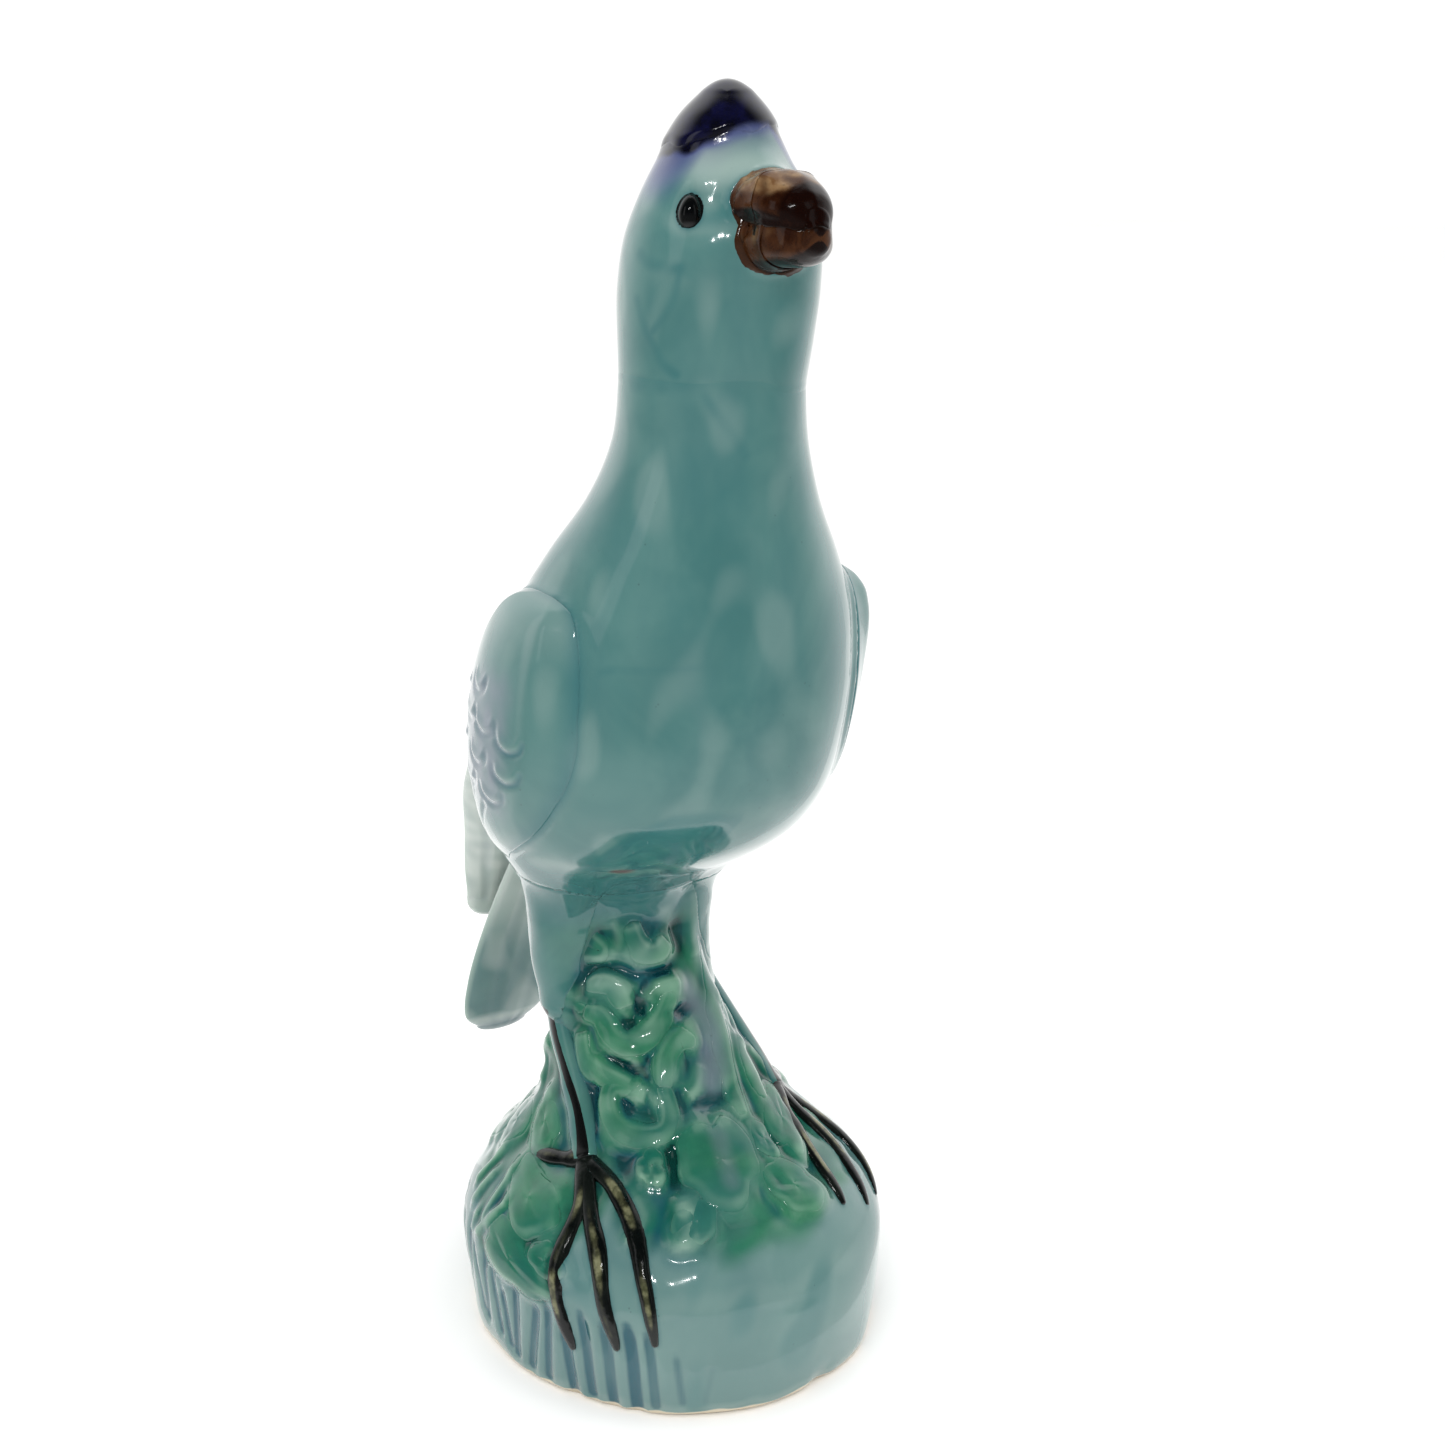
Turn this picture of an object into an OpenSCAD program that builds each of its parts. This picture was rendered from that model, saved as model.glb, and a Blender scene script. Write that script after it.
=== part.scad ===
// Glazed porcelain bird on a rockwork base.
// Hollow pressed and cast pieces luted together, with applied relief, feet, beak and eyes.
// Millimetres, +Z up. The bird faces -Y, and its right side is -X.
// The origin is the centre of the base's underside.

/* [Figure] */
// Overall height from the foot to the tip of the crest
figure_height = 200; // [170:5:230]
// Wall thickness of the hollow pieces
wall = 3.5; // [2.5:0.25:4.5]
// Angle by which the head turns towards the bird's left
head_turn = 6; // [-20:1:20]

/* [Base] */
// Scale of the base's footprint
base_spread = 1; // [0.9:0.02:1.15]
// Depth of the flutes pressed into the base's side
flute_depth = 0.5; // [0:0.1:1]
// Number of flutes round the base
flute_count = 26; // [12:1:36]
// Thickness of the floor slab
floor_t = 3; // [2:0.5:4]
// Diameter of the firing vent in the floor slab
vent_d = 6; // [4:0.5:10]

/* [Wings and tail] */
// How far the wings stand proud of the body
wing_relief = 3.2; // [1.5:0.1:5]
// Thickness of the tail at its middle
tail_t = 4.4; // [3:0.2:6]

/* [Feet and relief] */
// Width of a toe at its knuckles
toe_d = 2.7; // [2:0.1:3.4]
// Width of a shank
shank_d = 4; // [3:0.1:5]
// Height of the scroll relief above the rock
scroll_relief = 1.1; // [0.6:0.1:1.8]

/* [Face] */
// Length of the beak outside the face
beak_l = 9.8; // [7:0.2:13]
// Height of an eye bead
eye_h = 4.8; // [3:0.2:6]

/* [Hidden] */
fit = figure_height / 200;
seg = 48;       // points round a large section
luting = 0.6;   // how deep an applied piece is pressed into the piece that carries it
vent_at = [0, 14]; // centre of the firing vent

// ---- Section tables: [z, centre x, centre y, half width, depth to the front, depth to the back]

// Outside of the base mound, from the foot up to the seam with the pillar
MOUND = [
    [0, -0.2, 0, 32.7, 36.6, 36.4],
    [3, -0.1, 0, 33.6, 37.4, 37.2],
    [12, 0, 0, 34.6, 38, 37.6],
    [19, 0, 0.3, 34.4, 37, 36.4],
    [25, 0, 0.8, 31.8, 33.6, 32.4],
    [31, -0.2, 2.5, 25.8, 28.8, 24.4],
    [37, -0.4, 5, 20.2, 24.2, 18],
    [42, -0.5, 7, 17.2, 20.5, 15.6]
];

// Outside of the pillar, from that seam up into the belly
PILLAR = [
    [42, -0.5, 7, 17.2, 20.5, 15.6],
    [48, -1.2, 9.5, 15, 18, 13.5],
    [56, -2, 12, 13, 14.8, 12],
    [64, -2.5, 13.5, 12, 12.5, 11.5],
    [71, -2.5, 14, 12, 12, 12],
    [77.5, -2.5, 13.5, 12.5, 12.5, 12.5]
];

// Outside of the body, from the underside of the belly up to the neck seam
BODY = [
    [74.5, -2, 13.5, 5, 4, 6],
    [75.3, -1.8, 13, 11, 9, 12.5],
    [77.5, -1.4, 11.5, 17, 14.5, 17.5],
    [81, -1, 9.3, 22, 19.5, 21.5],
    [86.5, -0.4, 6.8, 26, 24.5, 24.6],
    [94, 0, 4, 28, 28, 26],
    [103, 0.2, 1.5, 28.8, 29, 26.6],
    [112, 0.6, -0.5, 28.6, 28, 26],
    [122, 1.2, -3, 26.6, 25, 24],
    [131, 1.8, -5.5, 22.6, 21, 21],
    [140, 2.2, -8, 17.8, 17, 17],
    [149, 2.1, -10, 14.8, 14.8, 14.8],
    [158, 1.8, -11.5, 13.8, 14, 14]
];

// Outside of the head, from the neck seam to the crown
HEAD = [
    [158, 1.8, -11.5, 13.8, 14, 14],
    [164, 1.7, -12.5, 14.1, 14.8, 14.4],
    [171, 1.8, -13.4, 14.6, 15, 14.8],
    [178, 1.8, -14.2, 14, 14, 14.4],
    [184, 1.9, -14.8, 12.1, 11.8, 12.6],
    [190, 2, -15.2, 9.2, 8.9, 9.6],
    [195, 2.1, -15.5, 6.2, 6.1, 6.6],
    [198.2, 2.2, -15.6, 3.2, 3.2, 3.3]
];

// ---- Spline and lofting functions

function spline(a, b, c, d, t) =
    0.5 * (2 * b + (c - a) * t + (2 * a - 5 * b + 4 * c - d) * t * t + (3 * b - a - 3 * c + d) * t * t * t);
function pick(tab, i) = tab[max(0, min(len(tab) - 1, i))];
function row_at(tab, u) =
    let (i = max(0, min(floor(u), len(tab) - 2)), t = u - i)
    spline(pick(tab, i - 1), tab[i], tab[i + 1], pick(tab, i + 2), t);
function resample(tab, n) = [for (i = [0:n]) row_at(tab, i * (len(tab) - 1) / n)];
// the spline parameter at which a table reaches height z, by bisection
function u_of(tab, z, a = 0, b = -1, n = 16) =
    let (hi = b < 0 ? len(tab) - 1 : b, m = (a + hi) / 2)
    n == 0 ? m : row_at(tab, m)[0] < z ? u_of(tab, z, m, hi, n - 1) : u_of(tab, z, a, m, n - 1);
function unit(v) = v / max(norm(v), 1e-9);
function turn(p, c, a) = let (d = p - c)
    [c[0] + d[0] * cos(a) - d[1] * sin(a), c[1] + d[0] * sin(a) + d[1] * cos(a), p[2]];

// one horizontal section as a ring of points, drawn in by inset
function oval(r, n = seg, inset = 0) = [for (i = [0:n - 1]) let (a = 360 * i / n)
    [r[1] + (r[3] - inset) * cos(a), r[2] + ((sin(a) > 0 ? r[5] : r[4]) - inset) * sin(a), r[0]]];

function sides(rings, n, start) = [for (k = [0:rings - 2], i = [0:n - 1])
    let (a = start + k * n + i, b = start + k * n + (i + 1) % n, c = a + n, d = b + n)
    each [[a, c, d], [a, d, b]]];
function flip(faces) = [for (f = faces) [f[2], f[1], f[0]]];
function fan_up(ring0, n, tip) = [for (i = [0:n - 1]) [ring0 + i, tip, ring0 + (i + 1) % n]];

// a closed surface, its faces turned outward whichever way round its rings were laid
module skin(pts, faces) {
    volume = [for (f = faces) cross(pts[f[0]], pts[f[1]]) * pts[f[2]]] * [for (f = faces) 1];
    polyhedron(pts, volume > 0 ? flip(faces) : faces, convexity = 8);
}

// the band between two rings of n and m points (n at least m), ring starts a and b
function rim(a, n, b, m) = [for (i = [0:n - 1])
    let (i1 = (i + 1) % n, j = floor(i * m / n), j1 = floor((i + 1) * m / n) % m)
    each concat([[a + i, a + i1, b + j]], j1 == j ? [] : [[a + i1, b + j1, b + j]])];

// a solid loft whose two ends close on points
module loft(rings, tip_a, tip_b) {
    n = len(rings[0]);
    k = len(rings);
    skin(concat([for (r = rings) each r], [tip_a, tip_b]),
        concat(sides(k, n, 0), flip(fan_up(0, n, n * k)), fan_up((k - 1) * n, n, n * k + 1)));
}

// a hollow piece open at both ends: outside rings upward, inside rings upward
module tube_shell(outer, inner) {
    n = len(outer[0]);
    k = len(outer);
    m = len(inner[0]);
    l = len(inner);
    o = n * k;
    skin(concat([for (r = outer) each r], [for (r = inner) each r]),
        concat(sides(k, n, 0), flip(sides(l, m, o)), rim(0, n, o, m), flip(rim((k - 1) * n, n, o + (l - 1) * m, m))));
}

// a hollow piece closed at its top (or, with down = true, at its bottom) and open at the other end
module cup_shell(outer, inner, tip_o, tip_i, down = false) {
    n = len(outer[0]);
    k = len(outer);
    m = len(inner[0]);
    l = len(inner);
    o = n * k;
    t = o + m * l;
    skin(concat([for (r = outer) each r], [for (r = inner) each r], [tip_o, tip_i]),
        concat(sides(k, n, 0), flip(sides(l, m, o)),
            down ? concat(flip(rim((k - 1) * n, n, o + (l - 1) * m, m)), flip(fan_up(0, n, t)), fan_up(o, m, t + 1))
                 : concat(rim(0, n, o, m), fan_up((k - 1) * n, n, t), flip(fan_up(o + (l - 1) * m, m, t + 1)))));
}

// a round cord swept along points that already lie where it should, thickness by a list of radii
function tangent(p, i) = unit(pick(p, i + 1) - pick(p, i - 1));
function sweep_ring(p, i, r, n, flat, up) =
    let (t = tangent(p, i), s = unit(cross(t, up[i])), w = cross(s, t))
    [for (j = [0:n - 1]) let (a = 360 * j / n) p[i] + s * r * cos(a) + w * r * flat * sin(a)];
module sweep(p, radii, up, n = 8, flat = 1) {
    rings = [for (i = [0:len(p) - 1]) sweep_ring(p, i, radii[i], n, flat, up)];
    loft(rings,
        p[0] - tangent(p, 0) * radii[0] * 0.6,
        p[len(p) - 1] + tangent(p, len(p) - 1) * radii[len(p) - 1] * 0.6);
}

// ---- Surfaces that applied pieces lie on

// Angle phi runs from the front (0) round the bird's right side for side = -1, or left for side = 1
function skin_point(tab, side, phi, z, out = 0) =
    let (r = row_at(tab, u_of(tab, z)), ry = cos(phi) < 0 ? r[5] : r[4])
    [r[1] + side * (r[3] + out) * sin(phi), r[2] - (ry + out) * cos(phi), z];
// the mound with its footprint scaled, fading to nothing at the seam with the pillar
BASE = [for (r = MOUND) let (k = 1 + (base_spread - 1) * (1 - r[0] / 42)) [r[0], r[1], r[2], k * r[3], k * r[4], k * r[5]]];
ROCK = concat(BASE, [for (i = [1:len(PILLAR) - 1]) PILLAR[i]]);
function rock_point(phi, z, out = 0) = skin_point(ROCK, -1, phi, z, out);
function rock_up(phi, z) = unit(rock_point(phi, z, 1) - rock_point(phi, z, 0) + [0, 0, z > 20 ? 0.5 : 0]);

// ---- Base and rock

// the flutes are deep round the back and the bird's right, and fade out at the front left
function flute(a) = flute_depth * sin(flute_count * a) * (0.25 + 0.75 * (0.5 + 0.5 * cos(a - 170)));
module base_mound() {
    n = 4 * flute_count;
    color([0.45, 0.66, 0.68])
    tube_shell(
        [for (r = resample(BASE, 13)) let (e = sqrt(max(0, 1 - r[0] / 22)))
            [for (i = [0:n - 1]) let (a = 360 * i / n, d = flute(a) * e)
                [r[1] + (r[3] + d) * cos(a), r[2] + ((sin(a) > 0 ? r[5] : r[4]) + d) * sin(a), r[0]]]],
        [for (r = resample(BASE, 8)) oval(r, 32, wall)]);
}

module base_floor() {
    color([0.86, 0.80, 0.70])
    difference() {
        linear_extrude(floor_t) polygon([for (p = oval(BASE[0], 32, wall + 0.1)) [p[0], p[1]]]);
        translate([vent_at[0], vent_at[1], -1]) cylinder(d = vent_d, h = floor_t + 2, $fn = 36);
    }
}

module rock_pillar() {
    color([0.30, 0.58, 0.50])
    tube_shell([for (r = resample(PILLAR, 10)) oval(r, 36)], [for (r = resample(PILLAR, 6)) oval(r, 24, wall)]);
}

// scroll ridges: each is a hand-laid path of [phi, z] on the rock
SCROLLS = [
    [[51, 68.5], [49, 66], [42, 64.2], [55, 63.6], [67, 62], [70, 59], [68, 56], [60, 54.6]],
    [[57, 54.3], [47, 54], [42, 51.3], [34, 50.4], [23, 51.4], [13, 53], [5, 55], [-6, 58.4]],
    [[34, 44.7], [47, 44.1], [52, 41.9], [50, 39.6], [44, 38.6], [35, 38.5], [26, 39.4], [22, 41.4], [22, 44.2]],
    [[63, 50.5], [62, 47.2], [55, 46], [46, 45.3], [39, 44.6]],
    [[16, 68], [13, 65], [8, 63.7], [-1, 63.5], [-9, 64.6]],
    [[54, 58.3], [43, 59.1], [34, 58.4], [31, 56]],
    [[20, 45], [14, 48.5], [4, 50.6], [-6, 50]],
    [[-54, 72], [-57, 67], [-55, 62], [-50, 57.5], [-43, 54.2], [-35, 52.2], [-30, 49.8], [-25, 47], [-20, 43.5], [-17, 39.5]],
    [[-45, 46.6], [-40, 45], [-39, 42], [-36, 39.5]]
];
function scroll_pts(s, k) = [for (q = resample(s, k * (len(s) - 1))) rock_point(q[0], q[1], scroll_relief * 0.25)];
function scroll_ups(s, k) = [for (q = resample(s, k * (len(s) - 1))) rock_up(q[0], q[1])];
module rock_scrolls() {
    color([0.24, 0.55, 0.42])
    for (s = SCROLLS) {
        n = 2 * (len(s) - 1);
        sweep(scroll_pts(s, 2), [for (i = [0:n]) 1.3 * scroll_relief * (0.6 + 0.4 * sin(180 * i / n))], scroll_ups(s, 2), 8, 0.75);
    }
}

// leaf pads laid on the rock: [phi, z, half width, half height, lean, relief]
LEAVES = [
    [-38, 36.4, 6, 3.2, 20, 1.2], [-19, 30.4, 4.8, 3.1, -12, 1.1], [-20, 36, 2.6, 2, 10, 1],
    [5, 35.4, 8.4, 4.8, 4, 1.4], [20, 29.4, 3.4, 2.8, 25, 0.9], [34, 35.2, 2.3, 2, 0, 1],
    [76, 28.2, 6.3, 3.2, -18, 1.2], [75, 20.6, 6.8, 3.4, -26, 1.1], [63, 22.6, 2.6, 2.4, 0, 0.9],
    [86, 36, 4.6, 3, -20, 1], [110, 33, 6, 3.4, 15, 1.1], [135, 30, 6.5, 3.6, -10, 1.1]
];
function lean_xy(p, a) = [p[0] * cos(a) - p[1] * sin(a), p[0] * sin(a) + p[1] * cos(a)];
module pad(l) {
    rr = norm([BASE[5][3], BASE[5][4]]) / sqrt(2);
    shape = [[1, -luting], [1.02, 0.1], [0.86, 0.62], [0.5, 0.92]];
    loft([for (k = shape) [for (i = [0:13]) let (d = lean_xy([l[2] * k[0] * cos(360 * i / 14), l[3] * k[0] * sin(360 * i / 14)], l[4]))
            rock_point(l[0] - d[0] * 57.3 / rr, l[1] + d[1], k[1] > 0 ? k[1] * l[5] : k[1])]],
        rock_point(l[0], l[1], -luting - 0.2), rock_point(l[0], l[1], l[5]));
}
module rock_leaves() {
    color([0.30, 0.60, 0.48])
    for (l = LEAVES) pad(l);
}

// ---- Legs and feet

THIGH = [
    [11, 9.5, 85, 6, 8],
    [11, 11, 76, 5.2, 7.5],
    [11.4, 12, 68, 4.8, 6.5],
    [11.8, 12, 61, 4, 5],
    [12, 11, 54, 2.6, 3.2]
];
module thigh(side) {
    rows = resample(THIGH, 9);
    rings = [for (k = [0:len(rows) - 1]) let (r = rows[len(rows) - 1 - k])
        [for (i = [0:19]) [side * r[0] - 3.2 + r[3] * cos(18 * i), r[1] + r[4] * sin(18 * i), r[2]]]];
    color([0.50, 0.70, 0.70])
    loft(rings, [side * 12 - 3.2, 10.4, 52], [side * 11 - 3.2, 9.5, 87]);
}

// paths of [phi, z]; the bird's left foot stands a little higher on the rock than its right
SHANKS = [
    [[92, 57], [87, 51], [78, 46], [70, 40.5], [62, 34.5]],
    [[92, 57], [87, 51.5], [78, 47], [69, 42.5], [60, 38]]
];
function leg_up(side, r) = unit(skin_point(ROCK, side, r[0], r[1], 1) - skin_point(ROCK, side, r[0], r[1], 0) + [0, 0, r[1] < 20 ? 0 : 0.6]);
module shank(side) {
    q = resample(SHANKS[side < 0 ? 0 : 1], 9);
    color([0.36, 0.56, 0.56])
    sweep([for (r = q) skin_point(ROCK, side, r[0], r[1], 0.2)],
        [for (i = [0:9]) shank_d / 2 * (1.25 - 0.25 * i / 9)], [for (r = q) leg_up(side, r)], 10, 0.6);
}

TOES = [
    [
        [[62, 34.5], [58, 29.5], [60, 22], [59, 16], [56, 10]],
        [[62, 34.5], [54, 29.5], [48, 25], [46, 18], [44, 12]],
        [[62, 34.5], [48, 32.5], [38, 28], [35, 22], [34, 13.5]],
        [[62, 34.5], [72, 33.5], [86, 32.5]]
    ],
    [
        [[60, 38], [50, 36.4], [43, 34], [38, 30], [34, 25.5]],
        [[60, 38], [58, 34.5], [56, 30], [49, 26], [45, 22.4]],
        [[60, 38], [67, 33.5], [68, 29], [62, 24.5], [56, 20.8]],
        [[60, 38], [72, 37], [86, 35.5]]
    ]
];
module toes(side) {
    color([0.09, 0.10, 0.09])
    for (t = TOES[side < 0 ? 0 : 1]) {
        n = 2 * (len(t) - 1);
        q = resample(t, n);
        sweep([for (r = q) skin_point(ROCK, side, r[0], r[1], 0.3)],
            [for (i = [0:n]) toe_d / 2 * (1 - 0.68 * pow(i / n, 5)) * (1 + 0.08 * sin(360 * i / n * len(t) / 2))], [for (r = q) leg_up(side, r)], 8, 0.6);
    }
}

// ---- Body, wings and tail

module body_shell() {
    inner = [for (r = resample(BODY, 16)) if (r[3] - wall > 6) [max(r[0], BODY[0][0] + wall + 1.5), r[1], r[2], r[3], r[4], r[5]]];
    color([0.42, 0.62, 0.62])
    cup_shell([for (r = resample(BODY, 24)) oval(r)], [for (r = inner) oval(r, 24, wall)],
        [BODY[0][1], BODY[0][2], BODY[0][0] - 0.3], [inner[0][1], inner[0][2], inner[0][0] - 0.5], true);
}

WING = [ // [front phi, front z, rear phi, rear z] from the shoulder to the tip
    [80, 130, 88, 130],
    [68, 126.5, 106, 128],
    [60, 120, 122, 121],
    [57, 112, 134, 113],
    [55, 103, 142, 104],
    [59, 94, 149, 96],
    [74, 85, 156, 88.5],
    [98, 80, 162, 82]
];
function wing_h(s, t) = wing_relief * pow(max(0, 1 - pow(abs(2 * t - 1), 3.5)), 0.5) * pow(max(0, 1 - pow(abs(2 * s - 1), 6)), 0.5);
module wing(side) {
    ns = 20;
    nt = 12;
    rows = resample(WING, ns);
    g = function (i, j, h) let (r = rows[i], t = j / nt)
        skin_point(BODY, side, r[0] + (r[2] - r[0]) * t, r[1] + (r[3] - r[1]) * t, h);
    top = [for (i = [0:ns], j = [0:nt]) g(i, j, wing_h(i / ns, j / nt) + 0.05)];
    low = [for (i = [0:ns], j = [0:nt]) g(i, j, -luting)];
    w = nt + 1;
    o = (ns + 1) * w;
    quad = function (a, b, c, d) [[a, b, c], [a, c, d]];
    faces = concat(
        [for (i = [0:ns - 1], j = [0:nt - 1]) let (a = i * w + j) each quad(a, a + 1, a + w + 1, a + w)],
        [for (i = [0:ns - 1], j = [0:nt - 1]) let (a = o + i * w + j) each quad(a, a + w, a + w + 1, a + 1)],
        [for (j = [0:nt - 1]) each quad(j, o + j, o + j + 1, j + 1)],
        [for (j = [0:nt - 1]) let (a = ns * w + j) each quad(a, a + 1, o + a + 1, o + a)],
        [for (i = [0:ns - 1]) let (a = i * w) each quad(a, a + w, o + a + w, o + a)],
        [for (i = [0:ns - 1]) let (a = i * w + nt) each quad(a, o + a, o + a + w, a + w)]);
    color([0.48, 0.66, 0.66])
    skin(concat(top, low), faces);
}

// flat feather bundles: [x, y, z, half width, half thickness]
module blade(rows, n, tip, lean = 0) {
    q = resample(rows, n);
    pts = [for (r = q) [r[0], r[1], r[2]]];
    rings = [for (i = [0:n]) let (t = tangent(pts, i), s = unit(cross(t, [0, sin(lean), cos(lean)])), w = cross(s, t), r = q[i])
        [for (j = [0:15]) pts[i] + s * r[3] * cos(22.5 * j) + w * r[4] * sin(22.5 * j)]];
    loft(rings, pts[0] - tangent(pts, 0), tip);
}
TAIL = [
    [-2, 26, 92, 6, 2.2],
    [-2.8, 36.5, 76, 7, 2.2],
    [-3.8, 45.5, 61, 8, 2.1],
    [-4.6, 52, 49, 8.6, 2],
    [-5, 57.2, 38, 9, 1.9],
    [-5.2, 60.3, 30.5, 8.2, 1.5],
    [-5.3, 61.6, 27.4, 5.4, 1.1]
];
module tail_feathers() {
    color([0.46, 0.64, 0.66])
    blade([for (r = TAIL) [r[0], r[1], r[2], r[3], r[4] * tail_t / 4.4]], 15, [-5.3, 62.4, 25.4]);
}
COVERTS = [
    [-1.5, 20, 106, 10, 3],
    [-1.5, 28.5, 95, 10, 3],
    [-2, 37, 84, 8.5, 2.6],
    [-2.3, 43, 75.5, 5.5, 2]
];
module tail_coverts() {
    color([0.45, 0.63, 0.64])
    blade(COVERTS, 11, [-2.6, 48, 68.5]);
}
PRIMARIES = [
    [-18, 21, 98, 6, 1.9],
    [-16, 31, 86, 6.4, 1.9],
    [-12.6, 41.5, 74, 6.2, 1.8],
    [-10.2, 49.3, 64, 5.8, 1.6],
    [-9.8, 53.4, 57, 4.6, 1.2]
];
module primaries(side) {
    color([0.46, 0.62, 0.66])
    blade([for (r = PRIMARIES) [side < 0 ? r[0] : -r[0] - 4.4, r[1], r[2], r[3], r[4]]], 11,
        [side < 0 ? -9.4 : 5, 56, 52]);
}

// ---- Head

module head_shell() {
    inner = [for (r = resample(HEAD, 10)) if (r[3] - wall > 3) r];
    last = inner[len(inner) - 1];
    color([0.50, 0.68, 0.68])
    cup_shell([for (r = resample(HEAD, 16)) [for (p = oval(r, 44)) turn(p, [r[1], r[2], 0], head_turn)]],
        [for (r = inner) [for (p = oval(r, 22, wall)) turn(p, [r[1], r[2], 0], head_turn)]],
        [HEAD[7][1], HEAD[7][2], 199.4], [last[1], last[2], last[0] + 0.6]);
}

// a cap over the crown, its lower edge hanging lower behind and on the bird's right
function crest_edge(a) = 191.6 + 1.6 * cos(a + 60);
function crest_ring(n, k, out) = [for (i = [0:n - 1]) let (a = 360 * i / n, z = crest_edge(a) + (198.2 - crest_edge(a)) * k,
        r = row_at(HEAD, u_of(HEAD, z)), b = sin(a) > 0 ? r[5] : r[4])
    turn([r[1] + (r[3] + out) * cos(a), r[2] + (b + out) * sin(a), z], [r[1], r[2], 0], head_turn)];
module crest() {
    top = [HEAD[7][1], HEAD[7][2]];
    color([0.05, 0.06, 0.30])
    cup_shell([for (k = [0, 0.04, 0.2, 0.4, 0.6, 0.8, 1]) crest_ring(32, k, k < 0.01 ? 0.02 : 0.5)],
        [for (k = [0, 0.33, 0.66, 1]) crest_ring(16, k, -luting)],
        [top[0], top[1], 200], [top[0], top[1], 198.6]);
}

// a place on the face: yaw from the beak's direction and height
function face_point(yaw, z, out = 0) =
    let (r = row_at(HEAD, u_of(HEAD, z)), a = -90 + head_turn + yaw, ry = r[4] + out, rx = r[3] + out, b = yaw - 90)
    turn([r[1] + rx * cos(b), r[2] + ry * sin(b), z], [r[1], r[2], 0], head_turn);

// one half of the beak: rows are [reach, width, height, sag]
module mandible(z, hw, hh, len, rows, drop) {
    o = face_point(0, z, 0);
    d = unit(face_point(0, z, 1) - o);
    s = [-d[1], d[0], 0];
    q = resample(rows, 11);
    loft([for (r = q) let (c = o + d * (r[0] < 0 ? r[0] : r[0] * len) + [0, 0, r[3] * drop])
            [for (i = [0:17]) c + s * hw * r[1] * cos(20 * i) + [0, 0, hh * r[2] * sin(20 * i)]]],
        o - d * 3.2, o + d * (len + 0.1) + [0, 0, -drop]);
}
UPPER = [[-3, 0.9, 0.8, 0], [0, 1, 0.95, 0], [0.3, 1, 1, 0], [0.6, 0.88, 0.92, -0.25], [0.85, 0.62, 0.7, -0.6], [0.97, 0.34, 0.4, -0.9]];
LOWER = [[-3, 0.9, 0.9, 0], [0, 1, 1, 0], [0.35, 0.96, 0.95, 0.1], [0.7, 0.8, 0.8, 0.2], [0.92, 0.46, 0.48, 0.1]];
module beak_upper() { color([0.28, 0.13, 0.06]) mandible(183.6, 5.9, 4.4, beak_l, UPPER, 2.2); }
module beak_lower() { color([0.30, 0.15, 0.07]) mandible(178.8, 5.4, 4.1, beak_l * 0.9, LOWER, -0.6); }

module eye(side) {
    p = face_point(side * 55, 182.3, -0.7);
    d = unit(face_point(side * 55, 182.3, 1) - face_point(side * 55, 182.3, 0));
    color([0.03, 0.04, 0.04])
    translate(p) rotate([0, -16, atan2(d[1], d[0])]) scale([1.7, 1.7, eye_h / 2]) sphere(1, $fn = 18);
}

// ---- Assembly

scale(fit) base_mound();
scale(fit) base_floor();
scale(fit) rock_pillar();
scale(fit) rock_scrolls();
scale(fit) rock_leaves();
scale(fit) thigh(-1);  // thigh_right
scale(fit) thigh(1);  // thigh_left
scale(fit) shank(-1);  // shank_right
scale(fit) shank(1);  // shank_left
scale(fit) toes(-1);  // toes_right
scale(fit) toes(1);  // toes_left
scale(fit) body_shell();
scale(fit) wing(-1);  // wing_right
scale(fit) wing(1);  // wing_left
scale(fit) primaries(-1);  // primaries_right
scale(fit) primaries(1);  // primaries_left
scale(fit) tail_coverts();
scale(fit) tail_feathers();
scale(fit) head_shell();
scale(fit) crest();
scale(fit) beak_upper();
scale(fit) beak_lower();
scale(fit) eye(-1);  // eye_right
scale(fit) eye(1);  // eye_left
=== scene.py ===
"""Looks of the glazed porcelain bird. Millimetres inside, metres on the way out, in the CAD frame."""
import math

import bpy
import numpy as np
from mathutils import Matrix, Vector
from mathutils.bvhtree import BVHTree


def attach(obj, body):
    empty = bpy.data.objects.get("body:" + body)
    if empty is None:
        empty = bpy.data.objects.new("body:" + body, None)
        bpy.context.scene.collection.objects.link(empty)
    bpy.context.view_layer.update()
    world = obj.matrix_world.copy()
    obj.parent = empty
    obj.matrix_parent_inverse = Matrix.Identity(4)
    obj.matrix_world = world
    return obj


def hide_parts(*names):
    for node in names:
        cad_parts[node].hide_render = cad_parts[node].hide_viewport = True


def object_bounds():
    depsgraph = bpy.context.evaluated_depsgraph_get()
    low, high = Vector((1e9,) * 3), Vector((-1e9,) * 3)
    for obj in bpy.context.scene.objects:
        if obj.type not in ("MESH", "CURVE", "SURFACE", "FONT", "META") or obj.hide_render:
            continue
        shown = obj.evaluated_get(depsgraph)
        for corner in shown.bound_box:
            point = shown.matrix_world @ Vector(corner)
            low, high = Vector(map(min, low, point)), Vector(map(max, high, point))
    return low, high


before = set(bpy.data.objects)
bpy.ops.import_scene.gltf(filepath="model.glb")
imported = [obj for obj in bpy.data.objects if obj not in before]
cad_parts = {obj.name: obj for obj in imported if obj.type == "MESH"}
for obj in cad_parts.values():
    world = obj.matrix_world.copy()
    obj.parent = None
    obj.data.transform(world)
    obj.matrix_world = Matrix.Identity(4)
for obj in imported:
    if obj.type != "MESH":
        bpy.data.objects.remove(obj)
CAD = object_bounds()
FIT = (CAD[1].z - CAD[0].z) / 0.2      # the CAD tables below are drawn 200 mm tall

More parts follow.
